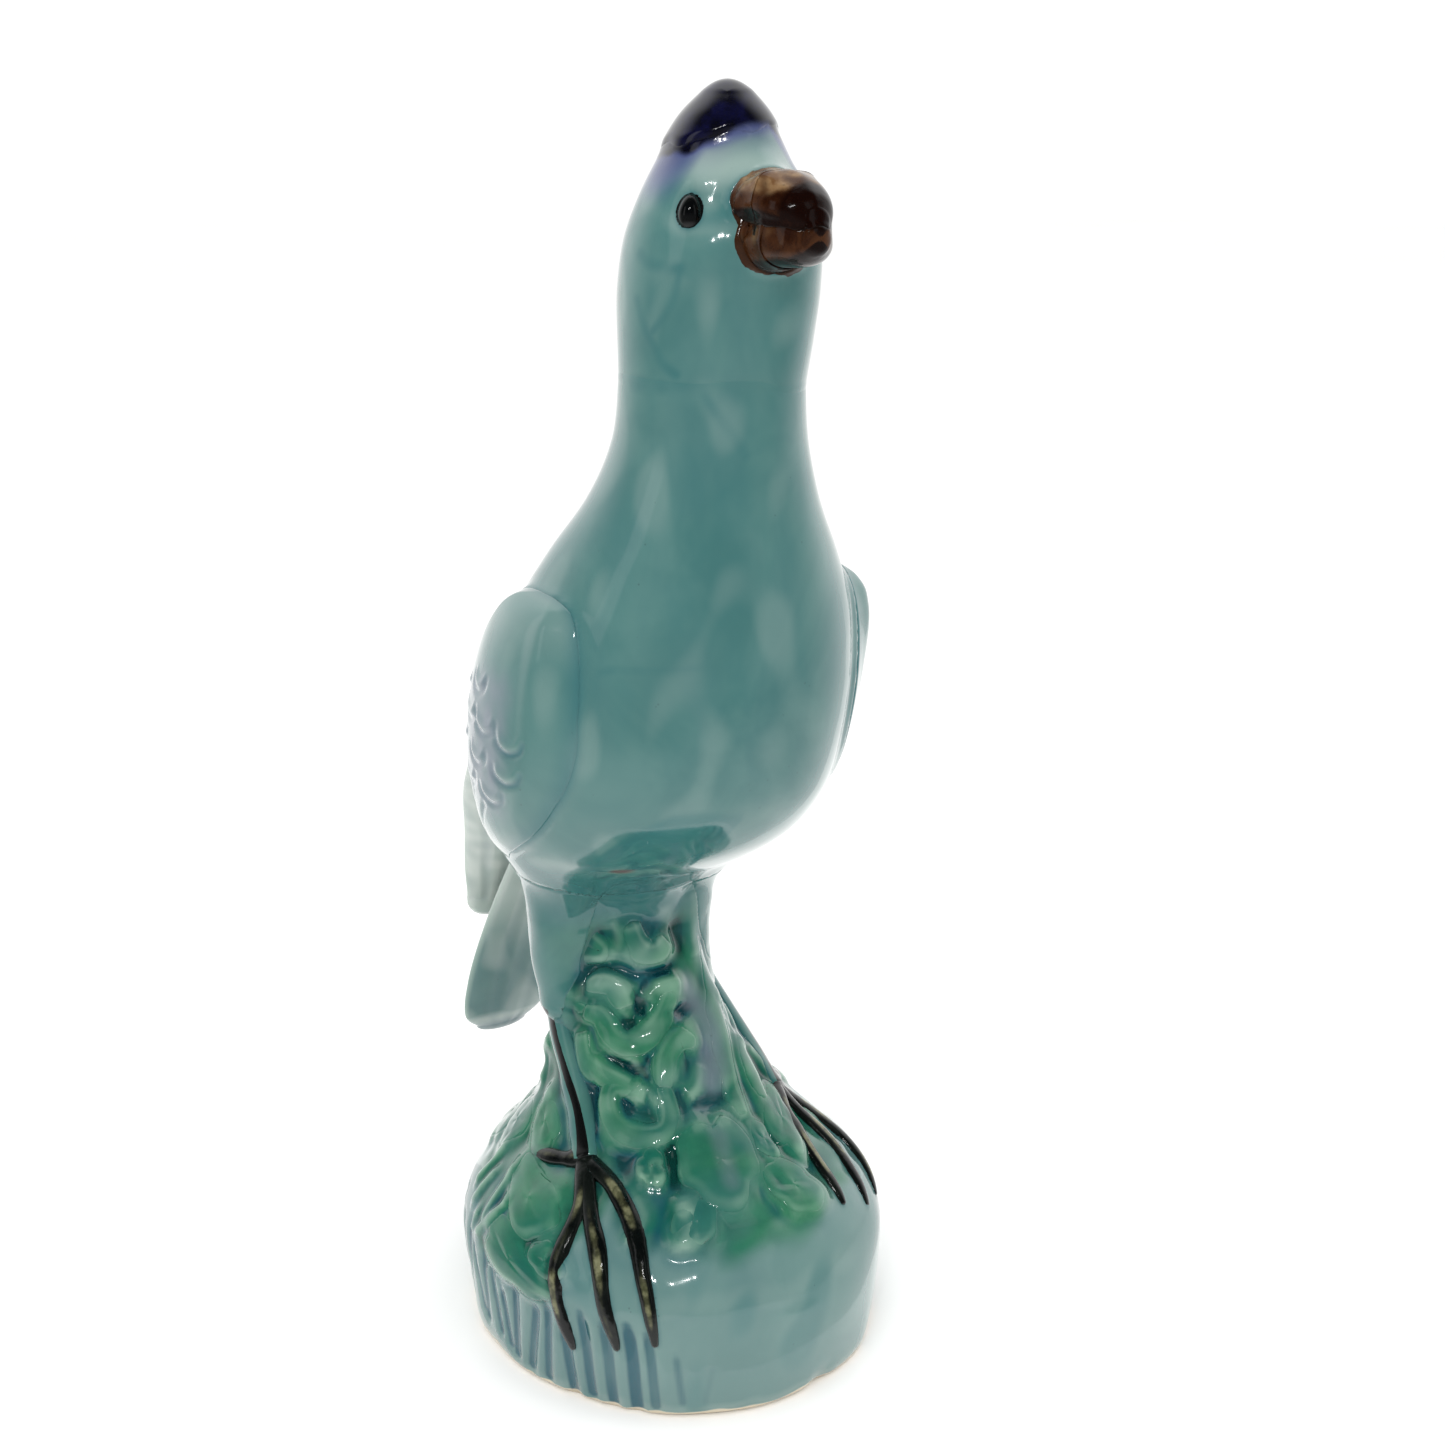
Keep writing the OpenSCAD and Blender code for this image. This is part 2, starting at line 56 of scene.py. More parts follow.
# ------------------------------------------------------------------ section tables, as in the CAD
MOUND = [[0, -.2, 0, 32.7, 36.6, 36.4], [3, -.1, 0, 33.6, 37.4, 37.2], [12, 0, 0, 34.6, 38, 37.6], [19, 0, .3, 34.4, 37, 36.4],
         [25, 0, .8, 31.8, 33.6, 32.4], [31, -.2, 2.5, 25.8, 28.8, 24.4], [37, -.4, 5, 20.2, 24.2, 18], [42, -.5, 7, 17.2, 20.5, 15.6]]
PILLAR = [[42, -.5, 7, 17.2, 20.5, 15.6], [48, -1.2, 9.5, 15, 18, 13.5], [56, -2, 12, 13, 14.8, 12], [64, -2.5, 13.5, 12, 12.5, 11.5],
          [71, -2.5, 14, 12, 12, 12], [77.5, -2.5, 13.5, 12.5, 12.5, 12.5]]
BODY = [[74.5, -2, 13.5, 5, 4, 6], [75.3, -1.8, 13, 11, 9, 12.5], [77.5, -1.4, 11.5, 17, 14.5, 17.5], [81, -1, 9.3, 22, 19.5, 21.5],
        [86.5, -.4, 6.8, 26, 24.5, 24.6], [94, 0, 4, 28, 28, 26], [103, .2, 1.5, 28.8, 29, 26.6], [112, .6, -.5, 28.6, 28, 26],
        [122, 1.2, -3, 26.6, 25, 24], [131, 1.8, -5.5, 22.6, 21, 21], [140, 2.2, -8, 17.8, 17, 17], [149, 2.1, -10, 14.8, 14.8, 14.8],
        [158, 1.8, -11.5, 13.8, 14, 14]]
HEAD = [[158, 1.8, -11.5, 13.8, 14, 14], [164, 1.7, -12.5, 14.1, 14.8, 14.4], [171, 1.8, -13.4, 14.6, 15, 14.8],
        [178, 1.8, -14.2, 14, 14, 14.4], [184, 1.9, -14.8, 12.1, 11.8, 12.6], [190, 2, -15.2, 9.2, 8.9, 9.6],
        [195, 2.1, -15.5, 6.2, 6.1, 6.6], [198.2, 2.2, -15.6, 3.2, 3.2, 3.3]]
HEAD_TURN = 6.0


def cr(tab, u):
    """Catmull-Rom through the rows of a table, its ends held."""
    a = np.asarray(tab, float)
    u = np.atleast_1d(np.asarray(u, float))
    n = len(a)
    i = np.clip(np.floor(u).astype(int), 0, n - 2)
    t = (u - i)[:, None]
    g = lambda k: a[np.clip(k, 0, n - 1)]
    A, B, C, D = g(i - 1), a[i], g(i + 1), g(i + 2)
    return .5 * (2 * B + (C - A) * t + (2 * A - 5 * B + 4 * C - D) * t * t + (3 * B - A - 3 * C + D) * t ** 3)


def sm(x, a, b):
    """smooth step from 0 at a to 1 at b"""
    t = np.clip((np.asarray(x, float) - a) / (b - a), 0, 1)
    return t * t * (3 - 2 * t)


def bell(d, w):
    """1 at d = 0, falling smoothly to 0 at d = w"""
    return np.clip(1 - (np.asarray(d, float) / w) ** 2, 0, 1) ** 2


def unit(v):
    return v / np.maximum(np.linalg.norm(v, axis=-1, keepdims=True), 1e-9)


def wave(P, k, seed):
    """a smooth, fixed irregularity of about unit height, features k millimetres long"""
    rng = np.random.RandomState(seed)
    out = np.zeros(len(P))
    for o in range(7):
        d = unit(rng.normal(size=3)) * (0.7 + 0.8 * rng.rand()) * 2 * math.pi / k
        out += np.sin(P @ d + rng.rand() * 6.28)
    return out / 3.2


class Surf:
    """a stack of ovals, addressed by phi (0 in front, + towards the bird's right) and height"""

    def __init__(s, rows, turn=0.0):
        u = np.linspace(0, len(rows) - 1, 6001)
        s.u, s.v, s.turn = u, cr(rows, u), turn
        s.z = np.maximum.accumulate(s.v[:, 0])
        s.r = (s.v[:, 3] + (s.v[:, 4] + s.v[:, 5]) / 2) / 2
        s.S = np.concatenate([[0], np.cumsum(np.hypot(np.diff(s.z), np.diff(s.r)))])

    def row(s, z):
        return np.stack([np.interp(z, s.z, s.v[:, j]) for j in range(6)], -1)

    def place(s, q, phi, out=0.0):
        a = np.radians(phi + s.turn)
        sn, c = np.sin(a), np.cos(a)
        ry = np.where(c < 0, q[..., 5], q[..., 4])
        x, y = -(q[..., 3] + out) * sn, -(ry + out) * c
        t = math.radians(s.turn)
        return np.stack([q[..., 1] + x * math.cos(t) - y * math.sin(t), q[..., 2] + x * math.sin(t) + y * math.cos(t), q[..., 0] + 0 * x], -1)

    def pt(s, phi, z, out=0.0):
        phi, z = np.broadcast_arrays(np.asarray(phi, float), np.asarray(z, float))
        q = s.row(z)
        q[..., 0] = z
        return s.place(q, phi, out)

    def nrm(s, phi, z):
        a = s.pt(phi + .5, z) - s.pt(phi - .5, z)
        b = s.pt(phi, z + .25) - s.pt(phi, z - .25)
        n = unit(np.cross(b, a))
        o = s.pt(phi, z, 1.0) - s.pt(phi, z)
        return n * np.sign(np.sum(n * o, -1, keepdims=True))

    def on(s, phi, z, h=0.0):
        """h millimetres off the surface, along its normal"""
        return s.pt(phi, z) + s.nrm(phi, z) * np.asarray(h)[..., None]

    def phiz(s, P):
        q = s.row(P[:, 2])
        t = -math.radians(s.turn)
        x, y = P[:, 0] - q[:, 1], P[:, 1] - q[:, 2]
        x, y = x * math.cos(t) - y * math.sin(t), x * math.sin(t) + y * math.cos(t)
        a = np.degrees(np.arctan2(-x / q[:, 3], -y / np.where(y > 0, q[:, 5], q[:, 4])))
        return (a - s.turn + 180) % 360 - 180, P[:, 2]

    def dist(s, phi, z, path, reach, k=5):
        """distance in mm along the skin to a given path of [phi, z], and how far along it (0..1)"""
        p = cr(path, np.linspace(0, len(path) - 1, k * (len(path) - 1) + 1)) if len(path) > 2 else np.asarray(path, float)
        if len(p) == 1:
            p = np.concatenate([p, p + [[.01, .01]]])
        out, along = np.full(len(phi), 99.), np.zeros(len(phi))
        R, Sv = np.interp(z, s.z, s.r), np.interp(z, s.z, s.S)
        pS = np.interp(p[:, 1], s.z, s.S)
        mid = np.median(p[:, 0])
        dphi = (phi - mid + 180) % 360 - 180 + mid
        c = math.pi / 180
        pad = reach / np.maximum(R * c, 1e-3)
        m = np.where((Sv > pS.min() - reach) & (Sv < pS.max() + reach) & (dphi > p[:, 0].min() - pad) & (dphi < p[:, 0].max() + pad))[0]
        if not len(m):
            return out, along
        X, Y, Rm = dphi[m], Sv[m], R[m] * c
        best, al = np.full(len(m), 99.), np.zeros(len(m))
        for i in range(len(p) - 1):
            ax, ay = (p[i, 0] - X) * Rm, pS[i] - Y
            bx, by = (p[i + 1, 0] - X) * Rm, pS[i + 1] - Y
            ex, ey = bx - ax, by - ay
            t = np.clip(-(ax * ex + ay * ey) / np.maximum(ex * ex + ey * ey, 1e-9), 0, 1)
            d = np.hypot(ax + t * ex, ay + t * ey)
            hit = d < best
            best[hit], al[hit] = d[hit], (i + t[hit]) / (len(p) - 1)
        out[m], along[m] = best, al
        return out, along


ROCK = Surf(MOUND + PILLAR[1:])
BODYS = Surf(BODY)
HEADS = Surf(HEAD, HEAD_TURN)

# ------------------------------------------------------------------ mesh pieces
PIECES = {}


class Piece:
    def __init__(s, name, node, slot, V, quads, tris=None, inner=None):
        s.name, s.node, s.slot = name, node, slot
        s.V = np.asarray(V, float)
        s.Q = np.asarray(quads, int).reshape(-1, 4)
        s.T = np.asarray(tris if tris is not None else [], int).reshape(-1, 3)
        if s.volume() < 0:
            s.Q, s.T = s.Q[:, ::-1].copy(), s.T[:, ::-1].copy()
        s.inner = np.zeros(len(s.V), bool) if inner is None else inner
        s.att, s.mat, s.bare = {}, "glaze", None
        PIECES[name] = s

    def tri(s):
        return np.concatenate([s.Q[:, [0, 1, 2]], s.Q[:, [0, 2, 3]], s.T])

    def volume(s):
        t = s.tri()
        a, b, c = s.V[t[:, 0]], s.V[t[:, 1]], s.V[t[:, 2]]
        return float(np.sum(np.cross(a, b) * c)) / 6

    def normals(s):
        t = s.tri()
        a, b, c = s.V[t[:, 0]], s.V[t[:, 1]], s.V[t[:, 2]]
        n = np.cross(b - a, c - a)
        out = np.zeros_like(s.V)
        for k in range(3):
            np.add.at(out, t[:, k], n)
        return unit(out)

    def tree(s, part=None):
        return BVHTree.FromPolygons([Vector(v) for v in s.V], [tuple(int(i) for i in q) for q in s.Q] + [tuple(int(i) for i in q) for q in s.T])


def grid_faces(K, N, start=0, closed=True, shut=False):
    i, j = np.meshgrid(np.arange(K if shut else K - 1), np.arange(N if closed else N - 1), indexing="ij")
    i1, j1 = (i + 1) % K, (j + 1) % N
    return start + np.stack([i * N + j, i * N + j1, i1 * N + j1, i1 * N + j], -1).reshape(-1, 4)


def capped(name, node, slot, rings, tip_a, tip_b, inner=None):
    rings = np.asarray(rings)
    K, N = rings.shape[:2]
    V = np.concatenate([rings.reshape(-1, 3), [tip_a], [tip_b]])
    j = np.arange(N)
    fa = np.stack([(j + 1) % N, j, np.full(N, K * N)], -1)
    fb = np.stack([(K - 1) * N + j, (K - 1) * N + (j + 1) % N, np.full(N, K * N + 1)], -1)
    inn = None if inner is None else np.concatenate([np.repeat(inner, N), [inner[0]], [inner[-1]]])
    return Piece(name, node, slot, V, grid_faces(K, N), np.concatenate([fa, fb]), inn)


def even(surf, z0, z1, step):
    """heights so spaced that the rings lie a step apart along the skin"""
    a, b = np.interp([z0, z1], surf.z, surf.S)
    n = max(3, int(round((b - a) / step)) + 1)
    return np.interp(np.linspace(a, b, n), surf.S, surf.z)


def sheet_grid(surf, zs, N):
    phi = -180 + 360 * np.arange(N) / N
    PH, Z = np.meshgrid(phi, zs)
    return PH, Z, surf.pt(PH, Z)


def push(P, h):
    """moves a grid of closed rings along its own normals"""
    a = np.gradient(P, axis=0)
    b = np.roll(P, -1, 1) - np.roll(P, 1, 1)
    n = unit(np.cross(a, b))
    c = P.mean(1, keepdims=True)
    if np.mean(np.sum(n * (P - c), -1)) < 0:
        n = -n
    return P + n * h[..., None]


# ------------------------------------------------------------------ relief on the rock: [path, half width, height]
FOLDS = [
    ([[30, 69.5], [27, 66.5], [29, 63.5]], 1.8, .5), ([[16, 56.5], [11, 58.2], [0, 58.6], [-12, 58.2]], 1.8, .7),
    ([[24, 57.5], [20, 55]], .9, -.5), ([[-40, 72], [-44, 66], [-40, 60]], 2.2, .6),
    ([[-47, 54], [-50, 50.5], [-42, 48.5]], 1.3, .6), ([[-56, 51], [-55, 47.5], [-44, 45.8]], 1.3, .6),
    ([[-58, 44.5], [-58, 41], [-57, 38.5]], 1.3, .6), ([[34, 48.2], [28, 46.2]], 1.5, .6), ([[36, 43], [30, 44.2], [28, 42.4]], 1.4, .5),
    ([[77, 45], [73, 41], [67, 35.5]], 2.4, .7), ([[22, 31.5], [20, 29.2], [24, 27.0]], 2.0, .6), ([[40, 32], [36, 29.5], [40, 27]], 2.2, .4),
    ([[58, 58], [64, 56], [72, 57]], 1.6, .4), ([[74, 66], [78, 62], [76, 57]], 2.0, .35), ([[-6, 47], [0, 44.5], [8, 43]], 1.6, .4),
    ([[92, 22.1], [91, 26], [91, 30.2]], 1.1, .7), ([[94, 19.4], [87, 24.4], [84, 27]], 1.1, .7),
    ([[102, 22], [99, 28]], 1.1, .7), ([[107, 24], [104, 31]], 1.1, .7), ([[98, 18.5], [96, 23]], 1.0, .5),
    # round the back
    ([[100, 66], [112, 62], [108, 56], [118, 52]], 1.7, .9), ([[130, 70], [136, 64], [128, 60], [138, 55], [134, 49]], 1.8, 1.0),
    ([[150, 68], [160, 63], [152, 57], [163, 52]], 1.7, .9), ([[176, 70], [184, 64], [176, 58], [186, 53], [180, 47]], 1.8, 1.0),
    ([[205, 68], [212, 62], [204, 57]], 1.6, .9), ([[226, 70], [234, 64], [228, 58], [238, 52], [232, 46]], 1.7, 1.0),
    ([[250, 66], [258, 60], [252, 55]], 1.5, .8), ([[100, 47], [112, 44], [108, 39]], 1.7, .9), ([[125, 45], [138, 41], [131, 37]], 1.7, .9),
    ([[152, 46], [166, 42], [158, 37]], 1.7, .9), ([[190, 44], [204, 41], [197, 36]], 1.7, .9), ([[216, 42], [230, 38], [224, 34]], 1.7, .9),
    ([[246, 48], [256, 43], [250, 38], [258, 33]], 1.6, .9), ([[270, 44], [278, 38], [272, 33]], 1.5, .8),
]
# hollows where the glaze pools: [phi, z, half width, half height, lean, depth]
PITS = [
    [3, 67.6, 3.6, 2.5, 0, .8], [45, 60.9, 3.4, 1.3, 14, 1.0], [28, 60.6, 2.6, 1.4, -14, 1.0], [14, 58.6, 1.7, .9, 30, .5], [22, 56.6, 2.0, 1.6, 40, .9],
    [0, 60.2, 2.6, .9, -6, .7], [-6, 54.4, 2.7, 1.1, 0, .9], [-27, 65.4, 2, 3, 0, .5], [58, 59.5, 1.3, 3, 0, .4], [33, 52.8, 3.5, 1.4, 0, .5],
    [38, 47.2, 3.2, 1.3, -15, .8], [28, 50.4, 3.0, 1.1, 0, .5], [44, 42, 1.4, 1.6, 0, .9], [15, 43, 1.4, 2.4, 0, .7], [-2, 42, 3.4, 1.1, 0, .8],
    [-17, 42.4, 2.4, 1.4, 10, 1.1], [60, 43, 1.3, 4.5, 0, .6], [44, 35, 2.6, 2.2, 0, .6], [24, 36.6, 1.8, 2.6, 0, .6], [-14, 32, 1.3, 1.6, 0, .9],
    [20, 33.8, 3.2, 2.0, 0, .6], [-27, 35.4, 1.8, 1.6, 0, .7], [71, 24.4, 2.6, 1.3, 0, .5], [-42, 30, 3, 2.2, 0, .3], [56, 32, 1.8, 2.6, 0, .6],
    [82, 15.8, 5.4, 1.1, 0, .35], [66, 17.2, 2.4, 1.0, 0, .35], [112, 58, 2.6, 2.2, 0, .8], [142, 60, 2.6, 2.2, 0, .8], [168, 57, 2.6, 2.2, 0, .8],
    [196, 60, 2.6, 2.2, 0, .8], [220, 55, 2.6, 2.2, 0, .8], [118, 42, 3, 2, 0, .8], [146, 41, 3, 2, 0, .8], [176, 43, 3, 2, 0, .8], [210, 40, 3, 2, 0, .8],
    [240, 42, 3, 2, 0, .8], [262, 50, 2, 2, 0, .7], [-38, 56.5, 2, 1.6, 0, .3],
]
# leaf pads: [phi, z, half width, half height, lean, relief, number of lobes]
LEAVES = [
    [-38, 36.4, 6.0, 3.2, 20, 1.2, 3], [-19, 30.4, 4.8, 3.1, -12, 1.1, 2], [-20, 36, 2.6, 2.0, 10, 1.0, 2],
    [5, 35.4, 8.4, 4.8, 4, 1.4, 3], [20, 29.4, 3.4, 2.8, 25, .9, 2], [34, 35.2, 2.3, 2.0, 0, 1.0, 3],
    [76, 28.2, 6.3, 3.2, -18, 1.2, 3], [75, 20.6, 6.8, 3.4, -26, 1.1, 3], [63, 22.6, 2.6, 2.4, 0, .9, 2],
    [86, 36, 4.6, 3, -20, 1.0, 2], [110, 33, 6, 3.4, 15, 1.1, 3], [135, 30, 6.5, 3.6, -10, 1.1, 3],
]
# vertical grooves in the base: [phi, top, bottom, lean, half width, depth]
GROOVES = [
    [35, 15, 2, 1, 1.2, .5], [40, 16, 1.5, 1, 1.5, .65], [46.5, 15.5, 1.5, 1, 1.3, .6], [52.5, 16.5, 2, 1, 1.2, .65], [58, 13, 1, 1, 1.3, .7],
    [64, 17, 2, -1, 1.1, .55], [69, 15, 2.5, -2, 1.2, .7], [75.5, 16.5, 3, -1, 1.1, .6], [80, 14, 4, 1, 1.0, .6], [84.5, 15.5, 5, 1, 1.1, .65],
    [90, 19, 5, -1, 1.1, .65], [95, 18, 6, 2, 1.0, .5], [101, 20, 5, -2, 1.2, .6], [107, 18, 4, 1, 1.2, .7], [113, 21, 5, 2, 1.1, .55],
    [120, 19, 3, -1, 1.3, .7], [127, 20, 4, -2, 1.1, .6], [134, 18, 3, 1, 1.2, .65], [141, 21, 4, 2, 1.2, .6], [148, 19, 3, -1, 1.3, .7],
    [156, 20, 4, -2, 1.1, .6], [163, 18, 3, 1, 1.2, .65], [171, 21, 4, 1, 1.2, .6], [179, 19, 3, -1, 1.3, .7], [188, 20, 4, -2, 1.1, .6],
    [196, 18, 3, 1, 1.2, .65], [205, 20, 4, 2, 1.2, .6], [214, 19, 3, -1, 1.2, .6], [223, 18, 4, -2, 1.1, .5], [232, 19, 3, 1, 1.2, .55],
    [242, 18, 4, 1, 1.1, .45], [252, 20, 3, -1, 1.2, .45], [262, 19, 4, 1, 1.1, .4], [271, 20, 5, -1, 1.0, .4], [279, 18, 4, 1, 1.0, .35],
    [287, 19, 3, 2, 1.1, .35], [295, 16, 4, 1, 1.0, .22], [28, 12, 3, 1, 1.3, .22], [20, 10, 3, -1, 1.4, .14],
]


def rock_relief(phi, z, P):
    """height of the modelled relief, and the pool and thin masks that follow it"""
    n = len(phi)
    up, pool, thin, dn = np.zeros(n), np.zeros(n), np.zeros(n), np.zeros(n)
    for path, w, h in FOLDS:
        d, al = ROCK.dist(phi, z, path, 3 * w)
        end = sm(al, -.01, .12) * (1 - sm(al, .88, 1.01)) * .55 + .45
        if h > 0:
            up = (up ** 3 + (h * bell(d, w * 1.35) * end) ** 3) ** (1 / 3)
            thin = np.maximum(thin, bell(d, w * .55) * end)
            pool = np.maximum(pool, .55 * bell(d - w * 1.5, w * .9) * (d > w * .6) * end)
        else:
            dn += h * bell(d, w * 1.5)
            pool = np.maximum(pool, bell(d, w * 1.5))
    for q in PITS:
        R, Sv = np.interp(z, ROCK.z, ROCK.r), np.interp(z, ROCK.z, ROCK.S)
        x = ((phi - q[0] + 180) % 360 - 180) * math.pi / 180 * R * -1
        y = Sv - np.interp(q[1], ROCK.z, ROCK.S)
        a = math.radians(q[4])
        u, v = (x * math.cos(a) + y * math.sin(a)) / q[2], (-x * math.sin(a) + y * math.cos(a)) / q[3]
        g = np.exp(-np.clip(u * u + v * v, 0, 30) ** 1.3)
        dn -= q[5] * g
        pool = np.maximum(pool, g * (.6 + .5 * q[5]))
    clump = wave(P, 9, 3) * .25 + wave(P, 5, 4) * .10
    rough = sm(z, 22, 30) * (1 - .75 * sm(z, 68, 73))
    dn += clump * rough
    return up * sm(z, 16, 20) + dn, np.clip(pool, 0, 1.2), np.clip(thin, 0, 1)


def groove_relief(phi, z):
    d_all, streak = np.zeros(len(phi)), np.zeros(len(phi))
    for g in GROOVES:
        d, al = ROCK.dist(phi, z, [[g[0] - g[3], g[2]], [g[0], (g[1] + g[2]) / 2], [g[0] + g[3], g[1]]], 4)
        e = 1 - .5 * sm(al, .8, 1)
        d_all = np.maximum(d_all, g[5] * bell(d, g[4] * 1.5) * e)
        streak = np.maximum(streak, bell(d, g[4] * 1.1) * e * min(1, g[5] * 1.7))
    return d_all, streak


# ------------------------------------------------------------------ base mound and rock pillar
NR = 420


def tube(name, node, slot, surf, outer_z, P_out, wall, inner_steps):
    """a hollow piece open at both ends: the outer rings, then the inner ones back down"""
    zi = np.linspace(outer_z[-1], outer_z[0], inner_steps)
    PH, Z, Pi = sheet_grid(surf, zi, P_out.shape[1])
    c = np.stack([surf.row(zi)[:, 1], surf.row(zi)[:, 2]], -1)[:, None]
    d = Pi[..., :2] - c
    r = np.linalg.norm(d, axis=-1, keepdims=True)
    Pi[..., :2] = c + d * (r - wall) / r
    rings = np.concatenate([P_out, Pi])
    K, N = rings.shape[:2]
    inner = np.repeat(np.arange(K) >= len(P_out), N)
    return Piece(name, node, slot, rings.reshape(-1, 3), grid_faces(K, N, shut=True), None, inner)


def drape(surf, zs, z_lo, z_hi):
    """how far a skirt that runs on past a seam is drawn in, to lie under its neighbour"""
    return -.35 * (np.clip(zs - z_hi, 0, 9) / 2) ** 2 - .35 * (np.clip(z_lo - zs, 0, 9) / 2) ** 2


def rock_piece(name, node, z0, z1, lo, hi, step, foot):
    zs = even(ROCK, z0, z1, step)
    if foot:
        zs = np.concatenate([[0, .12, .3, .55], zs[zs > .8]])
    PH, Z, P = sheet_grid(ROCK, zs, NR)
    h, pool, thin = rock_relief(PH.ravel(), Z.ravel(), P.reshape(-1, 3))
    h += drape(ROCK, Z, lo, hi).ravel()
    streak = np.zeros_like(h)
    if foot:
        g, streak = groove_relief(PH.ravel(), Z.ravel())
        ph, z = PH.ravel(), Z.ravel()
        h -= g
        low = 1 - sm(z, 3, 12)
        h += low * .30 * wave(P.reshape(-1, 3) * [1, 1, 0], 15, 8)
        dn = np.abs((ph + 14 + 180) % 360 - 180)
        h -= .55 * bell(dn, 6) * (1 - sm(z, .5, 5))
        h -= .8 * (1 - np.clip(z / 1.1, 0, 1)) ** 2
        # lean, broad dents of a hand-finished front
        for q in ([5, 20, 7, 3, .5], [-22, 18, 8, 3.5, -.35], [-4, 15.5, 5, 1.4, .28], [27, 20, 3.2, 4, .35], [-48, 20, 6, 5, .4], [48, 22, 2.4, 5, .3], [20, 23, 3, 2, .35]):
            x = ((ph - q[0] + 180) % 360 - 180) * math.pi / 180 * 35
            h += q[4] * np.exp(-((x / q[2]) ** 2 + ((z - q[1]) / q[3]) ** 2))
    P = push(P, h.reshape(PH.shape))
    if foot:
        P[0, :, 2] = 0
    p = tube(name, node, "turquoise_glaze" if foot else "green_glaze", ROCK, zs, P, 3.5, 8)
    k = PH.size
    for key, val in (("pool", pool), ("thin", thin), ("streak", streak)):
        a = np.zeros(len(p.V))
        a[:k] = val
        p.att[key] = a
    return p


mound = rock_piece("mound_glaze", "base_mound", 0, 44, -9, 42, .5, True)
pillar = rock_piece("pillar_glaze", "rock_pillar", 40, 77.5, 42, 99, .4, False)


# ------------------------------------------------------------------ body and head
def cup(name, node, slot, surf, zs, P, wall, tip_o, steps, down):
    """a hollow piece shut at one end: inner rings first, then the outer ones"""
    za = np.linspace(zs.min() + (5 if down else 0), zs.max() - (0 if down else 5), steps)
    if not down:
        za = za[::-1]
    PH, Z, Pi = sheet_grid(surf, za, P.shape[1])
    c = np.stack([surf.row(za)[:, 1], surf.row(za)[:, 2]], -1)[:, None]
    d = Pi[..., :2] - c
    r = np.linalg.norm(d, axis=-1, keepdims=True)
    Pi[..., :2] = c + d * np.maximum(r - wall, .2 * r) / r
    outer = P[::-1] if down else P
    rings = np.concatenate([Pi, outer])
    ti = np.append(Pi[0].mean(0)[:2], za[0] + (-.6 if down else .6))
    inner = np.arange(len(rings)) < len(Pi)
    p = capped(name, node, slot, rings, ti, tip_o, inner)
    return p, len(Pi), (lambda a: a[::-1] if down else a)


NB = 320
zs = even(BODYS, 74.5, 158, .62)
zs = np.concatenate([zs, [158.5, 159, 159.5, 160]])
PH, Z, P = sheet_grid(BODYS, zs, NB)
for k in np.where(zs > 158)[0]:
    P[k] = HEADS.pt(PH[k], zs[k])
ph, z = PH.ravel(), Z.ravel()
h = drape(BODYS, Z, -9, 158).ravel()
Pf = P.reshape(-1, 3)
h += .22 * wave(Pf, 34, 21) * sm(z, 78, 90)
d, al = BODYS.dist(ph, z, [[10, 150], [12, 140], [8, 128], [10, 116]], 12)     # soft breast keel
h += .35 * bell(d, 11)
d, al = BODYS.dist(ph, z, [[-3, 92], [18, 86], [44, 90]], 7)                   # a flatter place low on the belly
h -= .25 * bell(d, 6)
P = push(P, h.reshape(PH.shape))
body, _, _ = cup("body_glaze", "body_shell", "turquoise_glaze", BODYS, zs, P, 3.5, (-2, 13.5, 74.2), 9, True)

zs = np.concatenate([[156, 156.5, 157, 157.5], even(HEADS, 158, 198.2, .36)])
PH, Z, P = sheet_grid(HEADS, zs, NB)
for k in np.where(zs < 158)[0]:
    P[k] = BODYS.pt(PH[k], zs[k])
ph, z = PH.ravel(), Z.ravel()
h = drape(HEADS, Z, 158, 999).ravel()
h += .16 * wave(P.reshape(-1, 3), 22, 31) * sm(z, 160, 166)


def bump(surf, ph, z, q, R=14):
    x = ((ph - q[0] + 180) % 360 - 180) * math.pi / 180 * R
    return q[4] * np.exp(-((x / q[2]) ** 2 + ((z - q[1]) / q[3]) ** 2))


for q in ([-6, 188.6, 4.6, 2.2, .9], [-16, 185.5, 5, 2.4, .5], [4, 185.5, 5, 2.4, .5],      # brow over the beak
          [49, 182.3, 4.2, 4.0, -.40], [-61, 182.3, 4.2, 4.0, -.40],                       # eye hollows
          [50, 186.6, 4.0, 1.6, .35], [-62, 186.6, 4.0, 1.6, .35],                         # lids
          [34, 176.5, 5.5, 4, .45], [-46, 176.5, 5.5, 4, .45],                             # cheeks
          [30, 184.4, 2.0, 3.0, -.25], [-42, 184.4, 2.0, 3.0, -.25], [-6, 171.5, 6, 2.4, -.3]):
    h += bump(HEADS, ph, z, q)
P = push(P, h.reshape(PH.shape))
head, _, _ = cup("head_glaze", "head_shell", "turquoise_glaze", HEADS, zs, P, 3.5, (2.2, -15.6, 199.4), 7, False)


